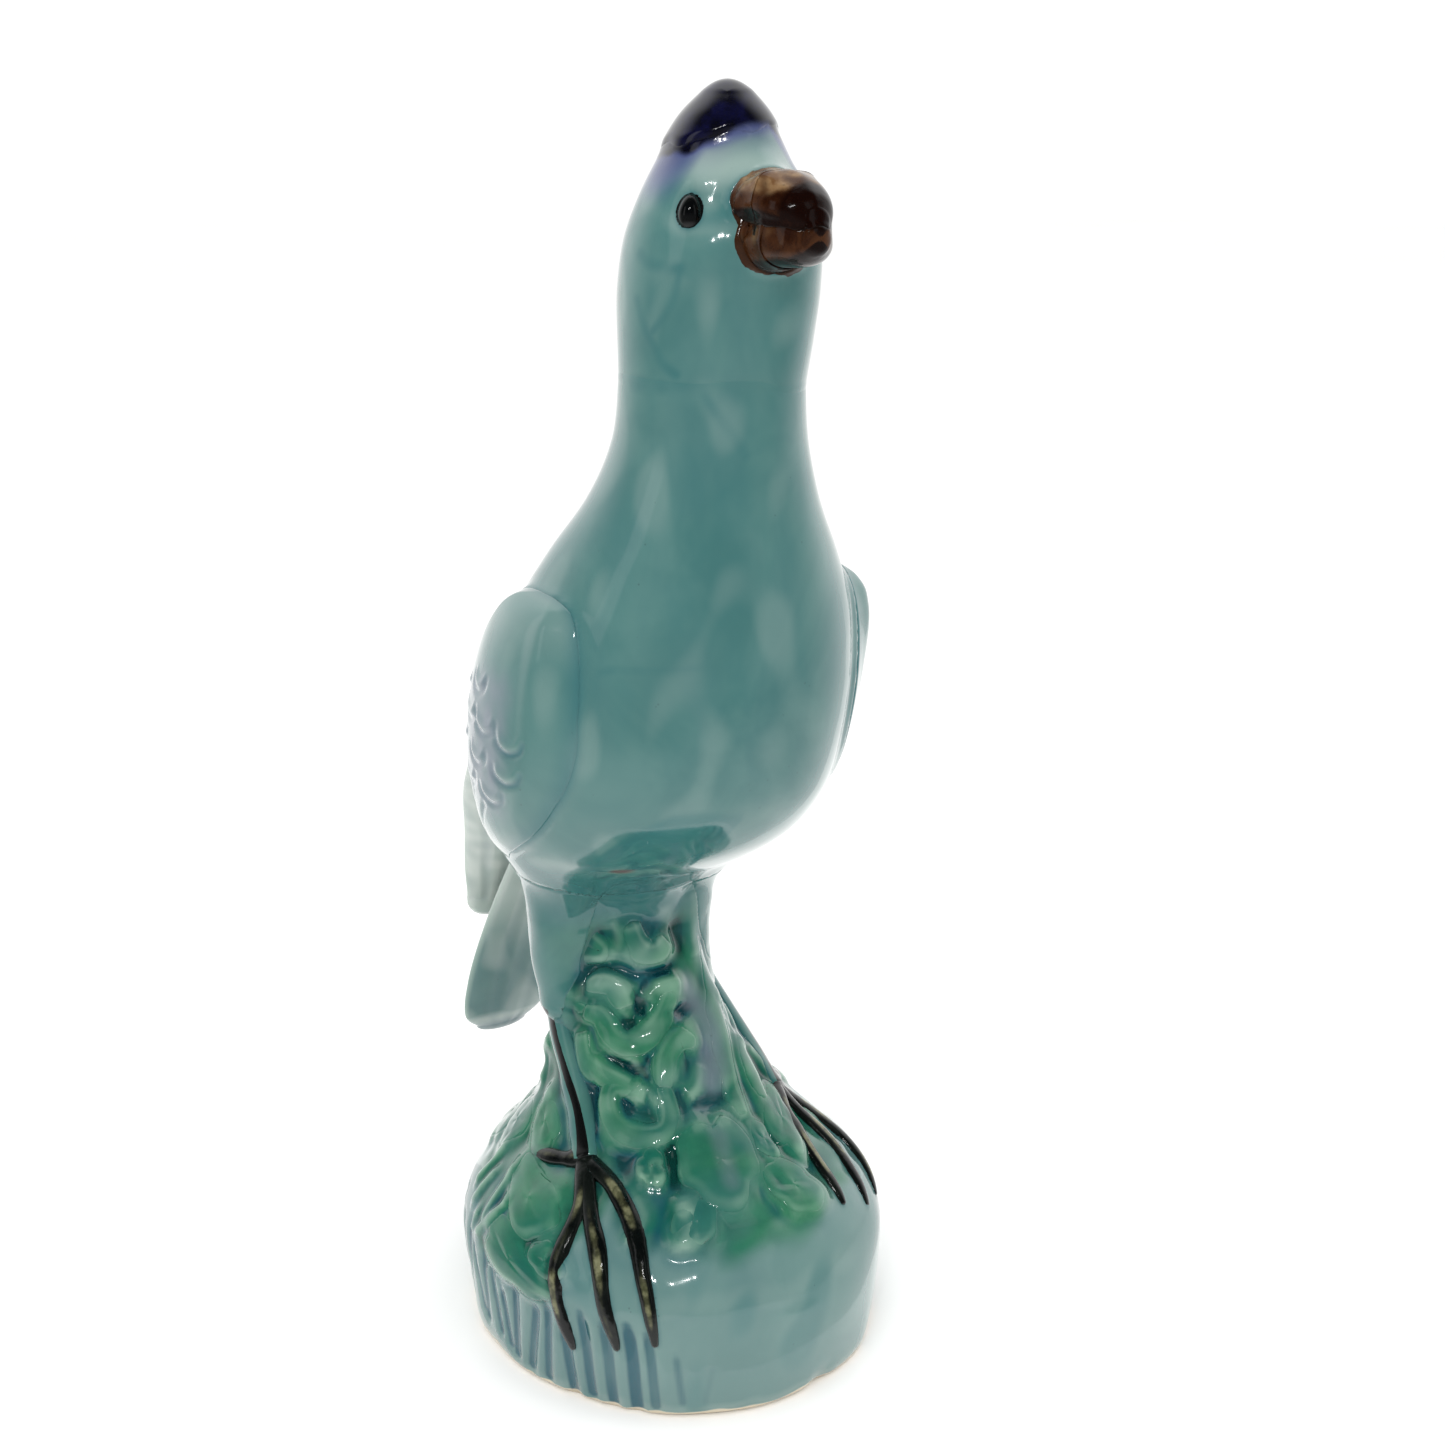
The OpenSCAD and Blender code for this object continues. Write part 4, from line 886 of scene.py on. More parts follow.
TREES = {n: p.tree() for n, p in PIECES.items()}
BOXES = {n: (p.V.min(0), p.V.max(0)) for n, p in PIECES.items()}
for n, p in PIECES.items():
    N = p.normals()
    move, crease = np.zeros(len(p.V)), np.zeros(len(p.V))
    for a, b, k, w in NEIGHBOURS:
        if n not in (a, b):
            continue
        o = b if n == a else a
        lo, hi = BOXES[o]
        far = max(1.3 * k, w, .5)
        idx = np.where(np.all((p.V > lo - far) & (p.V < hi + far), 1) & ~p.inner)[0]
        if not len(idx):
            continue
        d0 = sdist(TREES[o], p.V[idx], far)
        keep = np.abs(d0) < far
        idx, d0 = idx[keep], d0[keep]
        if not len(idx):
            continue
        if w > 0:
            crease[idx] = np.maximum(crease[idx], np.clip(1 - np.maximum(d0, 0) / w, 0, 1) ** 1.4)
        t, d = np.zeros(len(idx)), d0
        for _ in range(3):
            t = k / 4 * np.clip(1 - np.abs(t - d) / k, 0, 1) ** 2
            d = sdist(TREES[o], p.V[idx] + N[idx] * t[:, None], far)
        t = k / 4 * np.clip(1 - np.abs(t - d) / k, 0, 1) ** 2
        move[idx] = np.maximum(move[idx], t)
    p.V = p.V + N * move[:, None]
    p.att["crease"] = crease

# ------------------------------------------------------------------ where the glaze thins and pools on the rock
def relief_map():
    """height of the finished relief over the plain rock, less its own blur: ridges above 0, hollows below"""
    V, F, o = [], [], 0
    for p in PIECES.values():
        if p.name.startswith(("mound", "pillar", "scroll", "leaf", "thigh", "shank")):
            V += [Vector(v) for v in p.V]
            F += [tuple(int(i) + o for i in q) for q in p.Q] + [tuple(int(i) + o for i in q) for q in p.T]
            o += len(p.V)
    tree = BVHTree.FromPolygons(V, F)
    zs, ph = np.arange(.8, 75, .4), np.arange(-180, 180, .7)
    ph = ph[:514]
    PH, Z = np.meshgrid(ph, zs)
    O, N = ROCK.on(PH, Z, np.full(PH.shape, 9.)).reshape(-1, 3), -ROCK.nrm(PH, Z).reshape(-1, 3)
    H = np.zeros(len(O))
    for i in range(len(O)):
        hit = tree.ray_cast(Vector(O[i]), Vector(N[i]), 14)
        if hit[0] is not None:
            H[i] = 9 - hit[3]
    H = H.reshape(PH.shape)
    H = np.clip(H, -1.5, 4)
    S, R = np.interp(zs, ROCK.z, ROCK.S), np.interp(zs, ROCK.z, ROCK.r)
    fq = np.fft.fftfreq(len(ph))
    out = []
    for sg in (.9, 2.4):
        W = np.exp(-.5 * ((S[:, None] - S[None]) / sg) ** 2)
        W /= W.sum(1, keepdims=True)
        B = W @ H
        cols = sg / (R * math.radians(.7))
        B = np.fft.ifft(np.fft.fft(B, axis=1) * np.exp(-2 * (math.pi * fq[None] * cols[:, None]) ** 2), axis=1).real
        out.append(H - B)
    return zs, ph, out


mz, mph, (fine_map, broad_map) = relief_map()
for p in PIECES.values():
    if not p.name.startswith(("mound", "pillar", "scroll", "leaf", "thigh", "shank")):
        continue
    ph, z = ROCK.phiz(p.V)
    x, y = (ph + 180) / .7 % len(mph), np.clip((z - mz[0]) / .4, 0, len(mz) - 1.001)
    i, j = np.floor(x).astype(int) % len(mph), np.floor(y).astype(int)
    u, v = x - np.floor(x), y - j
    look = lambda M: (M[j, i] * (1 - u) + M[j, (i + 1) % len(mph)] * u) * (1 - v) + (M[j + 1, i] * (1 - u) + M[j + 1, (i + 1) % len(mph)] * u) * v
    f, b = look(fine_map), look(broad_map)
    on = sm(z, 10, 20) * (1 - sm(z, 66, 71)) * (~p.inner)
    soft = .0 if p.name.startswith(("thigh", "shank")) else 1.0
    p.att["thin"] = np.clip(.35 * p.att.get("thin", 0 * z) + soft * on * (.30 * sm(b, .12, .62) + .55 * sm(f, .04, .20)), 0, 1)
    p.att["pool"] = np.clip(.72 * p.att.get("pool", 0 * z) + soft * on * (.42 * sm(-b, .04, .55) + .30 * sm(-f, .03, .20)), 0, 1)

# ------------------------------------------------------------------ hand-made unevenness, the same field for every piece
for p in PIECES.values():
    f = sm(p.V[:, 2], 1, 14) * (1 - .85 * sm(p.V[:, 2], 190, 199.5))
    far = 1 - .7 * sm(p.V[:, 1], 45, 58)
    for ax, seed in ((0, 51), (1, 52)):
        p.V[:, ax] += .22 * f * far * wave(p.V, 30, seed)


# ------------------------------------------------------------------ painted and pooled colour, from where a point lies
def over(*a):
    out = np.zeros_like(a[0])
    for x in a:
        out = np.maximum(out, x)
    return np.clip(out, 0, 1)


GREEN_LOW = [[-180, 31], [-120, 31], [-80, 33], [-60, 30], [-45, 27.5], [-30, 26.5], [-13, 25.5], [5, 25.5], [19, 25], [34, 27], [48, 30], [56, 26],
             [61, 16.5], [75, 15.5], [90, 17], [100, 22], [118, 26], [140, 27], [180, 31]]


def paint(p):
    V = p.V
    z = V[:, 2]
    n = len(V)
    A = {k: p.att.get(k, np.zeros(n)).copy() for k in ("pool", "thin", "streak", "black", "olive", "crease")}
    for k in ("green", "violet", "cobalt", "line", "brown", "bare", "teal", "pale", "white", "pink"):
        A[k] = np.zeros(n)
    w1, w2 = wave(V, 12, 61), wave(V, 5, 62)
    is_rock = z < 80
    ph, _ = ROCK.phiz(V)
    fly = (p.name.startswith(("tail", "primary", "covert", "wing")))
    if not fly:
        g = np.array(GREEN_LOW)
        lowz = np.interp(ph, g[:, 0], g[:, 1]) + .8 * w1 + .5 * w2
        green = sm(z, lowz - 1.6, lowz + 2.0) * (1 - sm(z + .7 * w1, 66.5, 71.5))
        side = sm(np.abs(ph + 2), 62, 84) * sm(z, 44, 54)            # thighs and the right-hand folds stay turquoise
        green *= 1 - .85 * side
        green *= 1 - .55 * sm(-ph, 30, 48) * sm(z, 42, 50) * (ph > -100)
        if p.name.startswith(("thigh", "shank")):
            green *= .35
        A["green"] = green * is_rock
        vd, _ = ROCK.dist(ph, z, [[-20, 57], [-24, 53], [-18, 48], [-8, 44.5]], 6)
        A["violet"] = over(A["violet"], .75 * bell(vd, 3.4) * is_rock)
        vd, _ = ROCK.dist(ph, z, [[2, 38.5], [4, 34]], 6)
        A["violet"] = over(A["violet"], .35 * bell(vd, 2.4) * is_rock)
        pd, _ = ROCK.dist(ph, z, [[-12, 69], [-26, 62], [-30, 58.5], [-12, 56.4]], 6)
        A["pale"] = over(A["pale"], .65 * bell(pd, 2.6) * is_rock)
        # painted shade: a dark band on the rock just under the belly, and the speckles
        if not p.name.startswith("thigh"):
            A["teal"] = over(A["teal"], .7 * sm(z, 69, 76) * (1 - sm(z, 80, 84)) * sm(50 - np.abs(ph - 18), -8, 30))
    if p.name == "mound_glaze":
        A["bare"] = 1 - sm(z + .25 * w2, .7, 1.5)
        A["pale"] = over(A["pale"], .55 * (1 - sm(z + .4 * w2, 1.5, 4.5)), .42 * sm(48 - np.abs(ph - 4), -8, 22) * bell(z - 20 - .7 * w1, 5.5), .30 + .12 * sm(w1, .0, .9))
        A["teal"] = over(.55 * sm(w1, .1, 1) * (1 - sm(z, 20, 30)), .5 * sm(-ph, 55, 70) * sm(z, 16, 26))
    if p.name == "body_glaze":
        ph, _ = BODYS.phiz(V)
        for path, w, s in (([[83, 159], [60, 158.5], [37, 158], [20, 153], [8, 148.8]], 1.2, .4), ([[57, 112], [50, 118], [36, 118.5], [20, 119]], 1.0, .25),
                           ([[-62, 116], [-48, 117], [-34, 118.5]], .6, .3), ([[-40, 118.5], [-34, 112], [-30, 100]], .5, .15)):
            d, _ = BODYS.dist(ph, z, path, 3)
            A["line"] = over(A["line"], s * bell(d, w) * (.6 + .4 * w2))
        # painted dark reflection: a broad darker patch low on the belly
        top = np.interp(ph, [-180, -8, -3, 0, 13, 23, 34, 42, 51, 60, 180], [80, 86, 92, 94.4, 95.9, 95.7, 92.4, 87.2, 83, 80, 79])
        low = np.interp(ph, [-180, -3, 0, 3, 8, 40, 180], [98, 94.5, 92.4, 87, 80, 78, 78])
        A["teal"] = over(A["teal"], .75 * (1 - sm(z, top - .9, top + .9)) * sm(z, low - .9, low + .9) * (1 - sm(ph, 44, 66)))
        A["pale"] = over(A["pale"], .5 * bell(z - 83.0 - .8 * w1, 2.2) * sm(ph, -60, -25) * (1 - sm(ph, 66, 80)), .22 * sm(w1, .2, 1.1))
        A["teal"] = over(A["teal"], .16 * sm(-w1, .2, 1.1))
        # painted reflection: the back of the body whitened low down, where it mirrors the bright surroundings
        A["white"] = .45 * (1 - sm(z + w1, 90, 106)) * sm(np.abs(((ph + 180) % 360) - 180), 96, 120)
    if p.name in ("head_glaze", "crest_glaze"):
        ph, _ = HEADS.phiz(V)
        for path, w, s in (([[79, 170.3], [74, 167.5], [69, 164.9], [60, 162], [51, 160.2]], 1.3, .5), ([[51, 174.6], [55, 170], [69, 165.6]], 1.0, .4),
                           ([[83, 159.1], [60, 158.6], [37, 158]], 1.3, .4), ([[80, 176.5], [70, 175.5], [60, 174.9], [51, 175]], 1.5, .45),
                           ([[-30, 165], [-34, 161], [-36, 157]], 1.2, .3)):
            d, _ = HEADS.dist(ph, z, path, 3)
            A["line"] = over(A["line"], s * bell(d, w) * (.7 + .4 * w2))
        d, _ = HEADS.dist(ph, z, [[49, 181], [36, 181.5], [26, 182]], 5)
        A["teal"] = over(A["teal"], .6 * bell(d, 2.0))
        edge = np.interp(ph, [-180, -150, -100, -61, -27, 0, 19, 57, 90, 119, 150, 180], [190.5, 189.5, 190, 191, 194.2, 193.6, 192.9, 190.4, 189.8, 189.8, 190, 190.5])
        soft = 2.2 + 6.5 * sm(np.abs(((ph - 8 + 180) % 360) - 180), 34, 62)       # the blue runs further down at both sides
        A["cobalt"] = sm(z + .5 * w2, edge - 2.2, edge + 1.6)
        A["cobalt"] = over(A["cobalt"], .50 * sm(z + .9 * w1, edge - soft * 1.25, edge + .5))
        fade = np.interp(ph, [-180, -110, -61, -30, 19, 57, 118, 180], [184, 183.5, 184, 191, 190, 187, 182.5, 184])
        A["violet"] = over(A["violet"], .85 * sm(z + .6 * w1, fade - 1.5, edge + .3))
        # paler clouds and blotches, and a painted highlight on the brow between the crest and the beak
        A["pale"] = over(.30 * sm(w1, .2, 1.2), .95 * bell(z - 188.5 + .5 * w1, 4.6) * sm(66 - np.abs(ph - 6), 0, 26), .40 * sm(wave(V, 9, 65) + .4 * w1, -.2, 1.0) * sm(z, 170, 180))
        for o in (eye_r, eye_l):
            c = o.V.mean(0)
            q = np.hypot(np.linalg.norm((V - c)[:, :2], axis=1) / 1.95, (z - c[2]) / 2.6)
            A["black"] = over(A["black"], 1 - sm(q + .04 * w2, .94, 1.08))
        for q in ([[-6, 183.2], 6.5, 5.0], [[-6, 178.6], 6.2, 5.1]):
            x = ((ph - q[0][0] + 180) % 360 - 180) * math.pi / 180 * 13
            rr = np.hypot(x / q[1], (z - q[0][1]) / q[2]) + .04 * w2 + .03 * wave(V, 2.6, 63)
            A["brown"] = over(A["brown"], 1 - sm(rr, .92, 1.03))
    if fly:
        ph, _ = BODYS.phiz(V)
        if p.name.startswith("wing"):
            x = np.abs(ph)
            zone = sm(x, 72, 84) * (1 - sm(x, 118, 134)) * sm(z, 88, 96) * (1 - sm(z, 112, 118))
            A["violet"] = zone * (.75 + .25 * np.clip(w2, -1, 1))
            # paler glaze and painted reflection towards the wing's lower tip
            A["white"] = .55 * (1 - sm(z, 82, 90))
            A["pale"] = over(.30 * sm(z, 116, 124), .25 * sm(w1, 0, 1), .45 * (1 - sm(z, 84, 90)))
            A["pool"] = np.clip(A["pool"] * (1 + .4 * zone), 0, 1)
        if p.name.startswith("tail"):
            A["violet"] = .6 * (1 - sm(z, 26, 29.5))
            # paler glaze in clouds, and painted reflection on the tail's upper part and near its tip
            A["white"] = over(.72 * sm(z, 44, 62), .3 * sm(w1, 0, 1), .5 * bell(z - 29, 2.2))
        if p.name.startswith(("primary", "covert")):
            # paler glaze and painted reflection over the primaries and coverts
            A["white"] = (.80 if p.name.startswith("primary") else .45) - .12 * np.clip(w2, -1, 1)
    # specks of iron in the glaze
    for c, r in (((111, 71.8), .75), ((87, 52.6), 1.0)):
        if p.name in ("thigh_glaze_right", "shank_glaze_right", "pillar_glaze"):
            q, _ = ROCK.phiz(V)
            x = ((q - c[0] + 180) % 360 - 180) * math.pi / 180 * 12.5
            A["black"] = over(A["black"], 1 - sm(np.hypot(x, z - c[1]), r * .5, r))
    if p.name == "body_glaze":
        q, _ = BODYS.phiz(V)
        x = (q - 32) * math.pi / 180 * 22
        A["pink"] = .9 * (1 - sm(np.hypot(x / 2.2, (z - 83.2) / .8), .5, 1.1))
    for k, v in A.items():
        p.att[k] = np.clip(v, 0, 1)


for p in PIECES.values():
    paint(p)


# ------------------------------------------------------------------ materials
def lin(r, g, b):
    f = lambda c: c / 12.92 if c <= .04045 else ((c + .055) / 1.055) ** 2.4
    return (f(r / 255), f(g / 255), f(b / 255), 1)


class Nodes:
    def __init__(s, name):
        s.m = bpy.data.materials.new(name)
        s.m.use_nodes = True
        s.t = s.m.node_tree
        s.t.nodes.clear()
        s.out = s.t.nodes.new("ShaderNodeOutputMaterial")
        s.bsdf = s.t.nodes.new("ShaderNodeBsdfPrincipled")
        s.t.links.new(s.bsdf.outputs[0], s.out.inputs[0])
        co = s.t.nodes.new("ShaderNodeTexCoord")
        s.co = co.outputs["Object"]

    def put(s, sock, v):
        if isinstance(v, bpy.types.NodeSocket):
            s.t.links.new(v, sock)
        else:
            sock.default_value = v

    def attr(s, name):
        n = s.t.nodes.new("ShaderNodeAttribute")
        n.attribute_name = name
        return n.outputs["Fac"]

    def noise(s, scale, detail=3, rough=.5, dist=0.0, stretch=None):
        n = s.t.nodes.new("ShaderNodeTexNoise")
        n.inputs["Scale"].default_value = scale
        n.inputs["Detail"].default_value = detail
        n.inputs["Roughness"].default_value = rough
        n.inputs["Distortion"].default_value = dist
        v = s.co
        if stretch:
            mp = s.t.nodes.new("ShaderNodeMapping")
            mp.inputs["Scale"].default_value = stretch
            s.t.links.new(v, mp.inputs["Vector"])
            v = mp.outputs[0]
        s.t.links.new(v, n.inputs["Vector"])
        return n.outputs["Fac"]

    def voro(s, scale, feature="DISTANCE_TO_EDGE"):
        n = s.t.nodes.new("ShaderNodeTexVoronoi")
        n.feature = feature
        n.inputs["Scale"].default_value = scale
        s.t.links.new(s.co, n.inputs["Vector"])
        return n.outputs["Distance"]

    def step(s, v, a, b, lo=0.0, hi=1.0):
        n = s.t.nodes.new("ShaderNodeMapRange")
        n.interpolation_type = "SMOOTHSTEP"
        s.put(n.inputs["Value"], v)
        for k, x in (("From Min", a), ("From Max", b), ("To Min", lo), ("To Max", hi)):
            n.inputs[k].default_value = x
        return n.outputs[0]

    def math(s, op, a, b=0.0, clamp=False):
        n = s.t.nodes.new("ShaderNodeMath")
        n.operation = op
        n.use_clamp = clamp
        s.put(n.inputs[0], a)
        s.put(n.inputs[1], b)
        return n.outputs[0]

    def mix(s, f, a, b, mode="MIX"):
        n = s.t.nodes.new("ShaderNodeMix")
        n.data_type = "RGBA"
        n.blend_type = mode
        s.put(n.inputs[0], f)
        s.put(n.inputs[6], a)
        s.put(n.inputs[7], b)
        return n.outputs[2]

    def bump(s, height, dist, strength=1.0, prev=None):
        n = s.t.nodes.new("ShaderNodeBump")
        n.inputs["Strength"].default_value = strength
        n.inputs["Distance"].default_value = dist
        s.put(n.inputs["Height"], height)
        if prev is not None:
            s.t.links.new(prev, n.inputs["Normal"])
        return n.outputs[0]

    def finish(s, col, rough, normal, coat=1.0, coat_rough=.03, spec=.5):
        s.put(s.bsdf.inputs["Base Color"], col)
        s.put(s.bsdf.inputs["Roughness"], rough)
        if normal is not None:
            s.put(s.bsdf.inputs["Normal"], normal)
        s.bsdf.inputs["Coat Weight"].default_value = coat
        s.bsdf.inputs["Coat Roughness"].default_value = coat_rough
        s.bsdf.inputs["Specular IOR Level"].default_value = spec
        return s.m


def glaze(name="figure_glaze"):
    s = Nodes(name)
    at = {k: s.attr(k) for k in ("pool", "thin", "streak", "black", "olive", "crease", "green", "violet", "cobalt", "line", "brown", "bare", "teal", "pale", "white", "pink")}
    cloud = s.noise(38, 4, .55, .6)
    fine = s.noise(260, 4, .6)
    run = s.noise(120, 3, .5, .3, (1, 1, .22))          # glaze that has run downhill
    # turquoise, clouded
    c = s.mix(s.step(cloud, .35, .68), lin(58, 103, 102), lin(79, 118, 115))
    c = s.mix(s.step(run, .45, .75, 0, .30), c, lin(50, 96, 100))
    # paler glaze, and the painted highlight on the brow
    c = s.mix(s.math("MULTIPLY", at["pale"], .75), c, lin(150, 168, 162))
    # paler glaze and painted reflection of the bright surroundings
    c = s.mix(s.math("MULTIPLY", at["white"], .9), c, lin(208, 215, 208))
    # teal clouds, painted shade under the belly and a painted dark reflection low on it
    c = s.mix(s.math("MULTIPLY", at["teal"], .85), c, lin(44, 100, 101))
    deep = s.math("MAXIMUM", at["pool"], s.math("MULTIPLY", at["crease"], .85))
    c = s.mix(s.math("MULTIPLY", deep, .75), c, lin(30, 90, 98))
    c = s.mix(s.math("MULTIPLY", s.step(at["streak"], .08, .6), s.step(run, .3, .6, .6, 1.0)), c, lin(12, 76, 88))
    c = s.mix(s.math("MULTIPLY", at["thin"], .5), c, lin(164, 182, 170))
    # green: bright where thin, almost black where it pools
    gv = s.step(cloud, .3, .7)
    g = s.mix(gv, lin(20, 92, 78), lin(52, 116, 84))
    g = s.mix(s.step(fine, .35, .7, 0, .3), g, lin(14, 74, 62))
    g = s.mix(s.math("MULTIPLY", deep, 1.0, True), g, s.mix(s.step(s.noise(95, 2), .42, .6), lin(6, 66, 54), lin(6, 66, 80)))
    g = s.mix(s.step(at["pool"], .80, 1.15), g, lin(0, 36, 36))
    g = s.mix(s.math("MULTIPLY", at["thin"], .7), g, lin(122, 160, 138))
    gm = s.math("MULTIPLY", at["green"], s.step(s.noise(64, 3, .5, .5), .34, .56, .62, 1.0))
    c = s.mix(gm, c, g)
    c = s.mix(s.math("MULTIPLY", at["violet"], .8), c, lin(116, 124, 136))
    c = s.mix(s.math("MULTIPLY", at["line"], .85), c, lin(34, 92, 96))
    cob = s.mix(s.step(fine, .4, .75), lin(1, 1, 14), lin(8, 9, 46))
    c = s.mix(s.step(at["cobalt"], .05, .55, 0, .75), c, lin(56, 60, 118))
    c = s.mix(s.step(at["cobalt"], .35, .9), c, cob)
    c = s.mix(s.math("GREATER_THAN", s.math("ADD", at["brown"], s.math("MULTIPLY", s.math("SUBTRACT", fine, .5), .3)), .5), c, s.mix(s.step(cloud, .3, .7), lin(26, 8, 2), lin(58, 34, 16)))
    c = s.mix(at["pink"], c, lin(104, 82, 80))
    # black lines with an olive heart where the brush left less
    blk = s.mix(s.math("MULTIPLY", at["olive"], s.step(fine, .3, .6)), lin(7, 9, 9), lin(84, 86, 58))
    edge = s.math("ADD", at["black"], s.math("MULTIPLY", s.math("SUBTRACT", fine, .5), .5))
    c = s.mix(s.step(edge, .38, .58), c, blk)
    c = s.mix(s.step(at["bare"], .3, .7), c, lin(203, 190, 166))
    # pinholes
    pin = s.step(s.voro(420, "F1"), .045, .085, 1, 0)
    pinm = s.math("MULTIPLY", pin, s.step(s.noise(70, 2), .52, .62, 0, .35))
    c = s.mix(pinm, c, lin(50, 60, 58))
    rough = s.math("ADD", s.step(s.noise(90, 3), .3, .7, .07, .16), s.math("MULTIPLY", at["bare"], .45), True)
    nb = s.bump(s.noise(55, 2, .4), .0006, .35)
    nb = s.bump(s.noise(240, 3, .5), .00010, .35, nb)
    nb = s.bump(pinm, .00006, -.6, nb)
    return s.finish(c, rough, nb, .55, .035, .55)


def beak_glaze():
    s = Nodes("beak_brown")
    tone, tipd = s.attr("tone"), s.attr("dark")
    cloud, fine = s.noise(150, 4, .6, .8), s.noise(520, 4, .6)
    c = s.mix(s.step(cloud, .34, .66), lin(30, 10, 3), lin(64, 36, 16))
    # painted highlight in lighter amber
    c = s.mix(s.step(tone, .15, .8), c, s.mix(s.step(fine, .35, .65), lin(96, 68, 42), lin(128, 102, 72)))
    c = s.mix(s.step(tipd, .1, .7), c, lin(16, 3, 1))
    c = s.mix(s.step(s.attr("crease"), .3, .9), c, lin(14, 5, 2))
    c = s.mix(s.step(fine, .58, .74, 0, .5), c, lin(34, 14, 6))
    nb = s.bump(s.noise(190, 3, .5, .4), .0005, .5)
    nb = s.bump(fine, .00010, .4, nb)
    return s.finish(c, s.step(cloud, .3, .7, .08, .2), nb, .22, .03, .32)


def bead_glaze():
    s = Nodes("eye_black")
    cloud = s.noise(600, 3, .6)
    c = s.mix(s.step(cloud, .45, .75), lin(3, 4, 5), lin(12, 14, 12))
    return s.finish(c, s.step(cloud, .3, .7, .05, .14), s.bump(s.noise(320, 2), .00012, .4), .25, .02, .35)


def toe_glaze():
    s = Nodes("toe_black")
    ol = s.attr("olive")
    cloud, fine = s.noise(170, 4, .6), s.noise(620, 4, .6)
    c = s.mix(s.step(cloud, .35, .7), lin(3, 6, 6), lin(16, 22, 18))
    f = s.math("MULTIPLY", ol, s.step(cloud, .3, .6, .3, 1.0))
    c = s.mix(s.step(f, .12, .6), c, s.mix(s.step(fine, .35, .65), lin(58, 60, 40), lin(112, 112, 84)))
    nb = s.bump(s.noise(230, 3, .5), .0006, .5)
    nb = s.bump(fine, .00012, .4, nb)
    return s.finish(c, s.step(cloud, .3, .7, .08, .22), nb, .35, .04, .4)


def bare_porcelain():
    s = Nodes("bare_porcelain")
    cloud, fine = s.noise(60, 4, .6), s.noise(900, 4, .7)
    c = s.mix(s.step(cloud, .3, .7), lin(205, 193, 172), lin(222, 212, 194))
    c = s.mix(s.step(fine, .62, .76, 0, .5), c, lin(150, 128, 98))
    return s.finish(c, s.step(fine, .2, .8, .55, .75), s.bump(fine, .0002, .5), 0.0, .03, .4)


M = {"glaze": glaze(), "beak": beak_glaze(), "eye": bead_glaze(), "toe": toe_glaze(), "bare": bare_porcelain()}

# ------------------------------------------------------------------ beak tones: painted amber highlight, darker tip and lower parts
for p in (upper, lower):
    t, th = p.par[:, 0], p.par[:, 1]
    y = np.sin(th)
    if p is upper:
        # painted highlight: lighter amber along the top of the upper mandible
        tone = sm(y, .05, .75) * (1 - sm(t, .55, .85)) * (.65 + .35 * np.clip(wave(p.V, 3.4, 71), -1, 1))
        dark = over(sm(t, .62, .86), bell(y + .35, .40) * .9)
    else:
        # painted highlight: lighter amber on the chin and sides of the lower mandible
        tone = .55 * bell(y - .1, .8) * (1 - sm(t, .5, .9)) * (.6 + .4 * np.clip(wave(p.V, 3.0, 72), -1, 1))
        dark = over(bell(y + .9, .5), bell(y - 1, .35) * .8)
    p.att["tone"], p.att["dark"] = np.clip(tone, 0, 1), np.clip(dark, 0, 1)
    p.mat = "beak"
eye_r.mat = eye_l.mat = "eye"
toes_r.mat = toes_l.mat = "toe"

# ------------------------------------------------------------------ into Blender
ATT = {"glaze": ("pool", "thin", "streak", "black", "olive", "crease", "green", "violet", "cobalt", "line", "brown", "bare", "teal", "pale", "white", "pink"),
       "beak": ("tone", "dark", "crease"), "toe": ("olive",), "eye": ()}
for p in PIECES.values():
    me = bpy.data.meshes.new(p.name)
    co = (p.V * .001 * FIT).astype(np.float32)
    nq, nt = len(p.Q), len(p.T)
    loops = np.concatenate([p.Q.ravel(), p.T.ravel()]).astype(np.int32)
    start = np.concatenate([np.arange(nq) * 4, nq * 4 + np.arange(nt) * 3]).astype(np.int32)
    me.vertices.add(len(co))
    me.vertices.foreach_set("co", co.ravel())
    me.loops.add(len(loops))
    me.loops.foreach_set("vertex_index", loops)
    me.polygons.add(nq + nt)
    me.polygons.foreach_set("loop_start", start)
    me.update(calc_edges=True)
    me.validate()
    me.shade_smooth()
    for k in ATT[p.mat]:
        a = me.attributes.new(k, "FLOAT", "POINT")
        a.data.foreach_set("value", p.att.get(k, np.zeros(len(co))).astype(np.float32))
    me.materials.append(M[p.mat])
    if p.inner.any():
        me.materials.append(M["bare"])
        fi = np.concatenate([p.inner[p.Q].any(1), p.inner[p.T].any(1)]).astype(np.int32)
        me.polygons.foreach_set("material_index", fi)
    ob = bpy.data.objects.new(p.name, me)
    bpy.context.scene.collection.objects.link(ob)
    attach(ob, "root")
    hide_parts(p.node)

floor_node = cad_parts["base_floor"]
floor_node.data.materials.clear()
floor_node.data.materials.append(M["bare"])

# ------------------------------------------------------------------ floor, light, camera
me = bpy.data.meshes.new("ground")
n = 48
V = [(0, 0, 0)] + [(4 * math.cos(2 * math.pi * i / n), 4 * math.sin(2 * math.pi * i / n), 0) for i in range(n)]
me.from_pydata(V, [], [(0, i + 1, (i + 1) % n + 1) for i in range(n)])
ground = bpy.data.objects.new("ground", me)
bpy.context.scene.collection.objects.link(ground)
gm = Nodes("pale_ground")
gc = gm.mix(gm.step(gm.noise(3, 2), .3, .7), lin(250, 250, 249), lin(253, 253, 252))
ground.data.materials.append(gm.finish(gc, .9, None, 0.0, .03, .1))

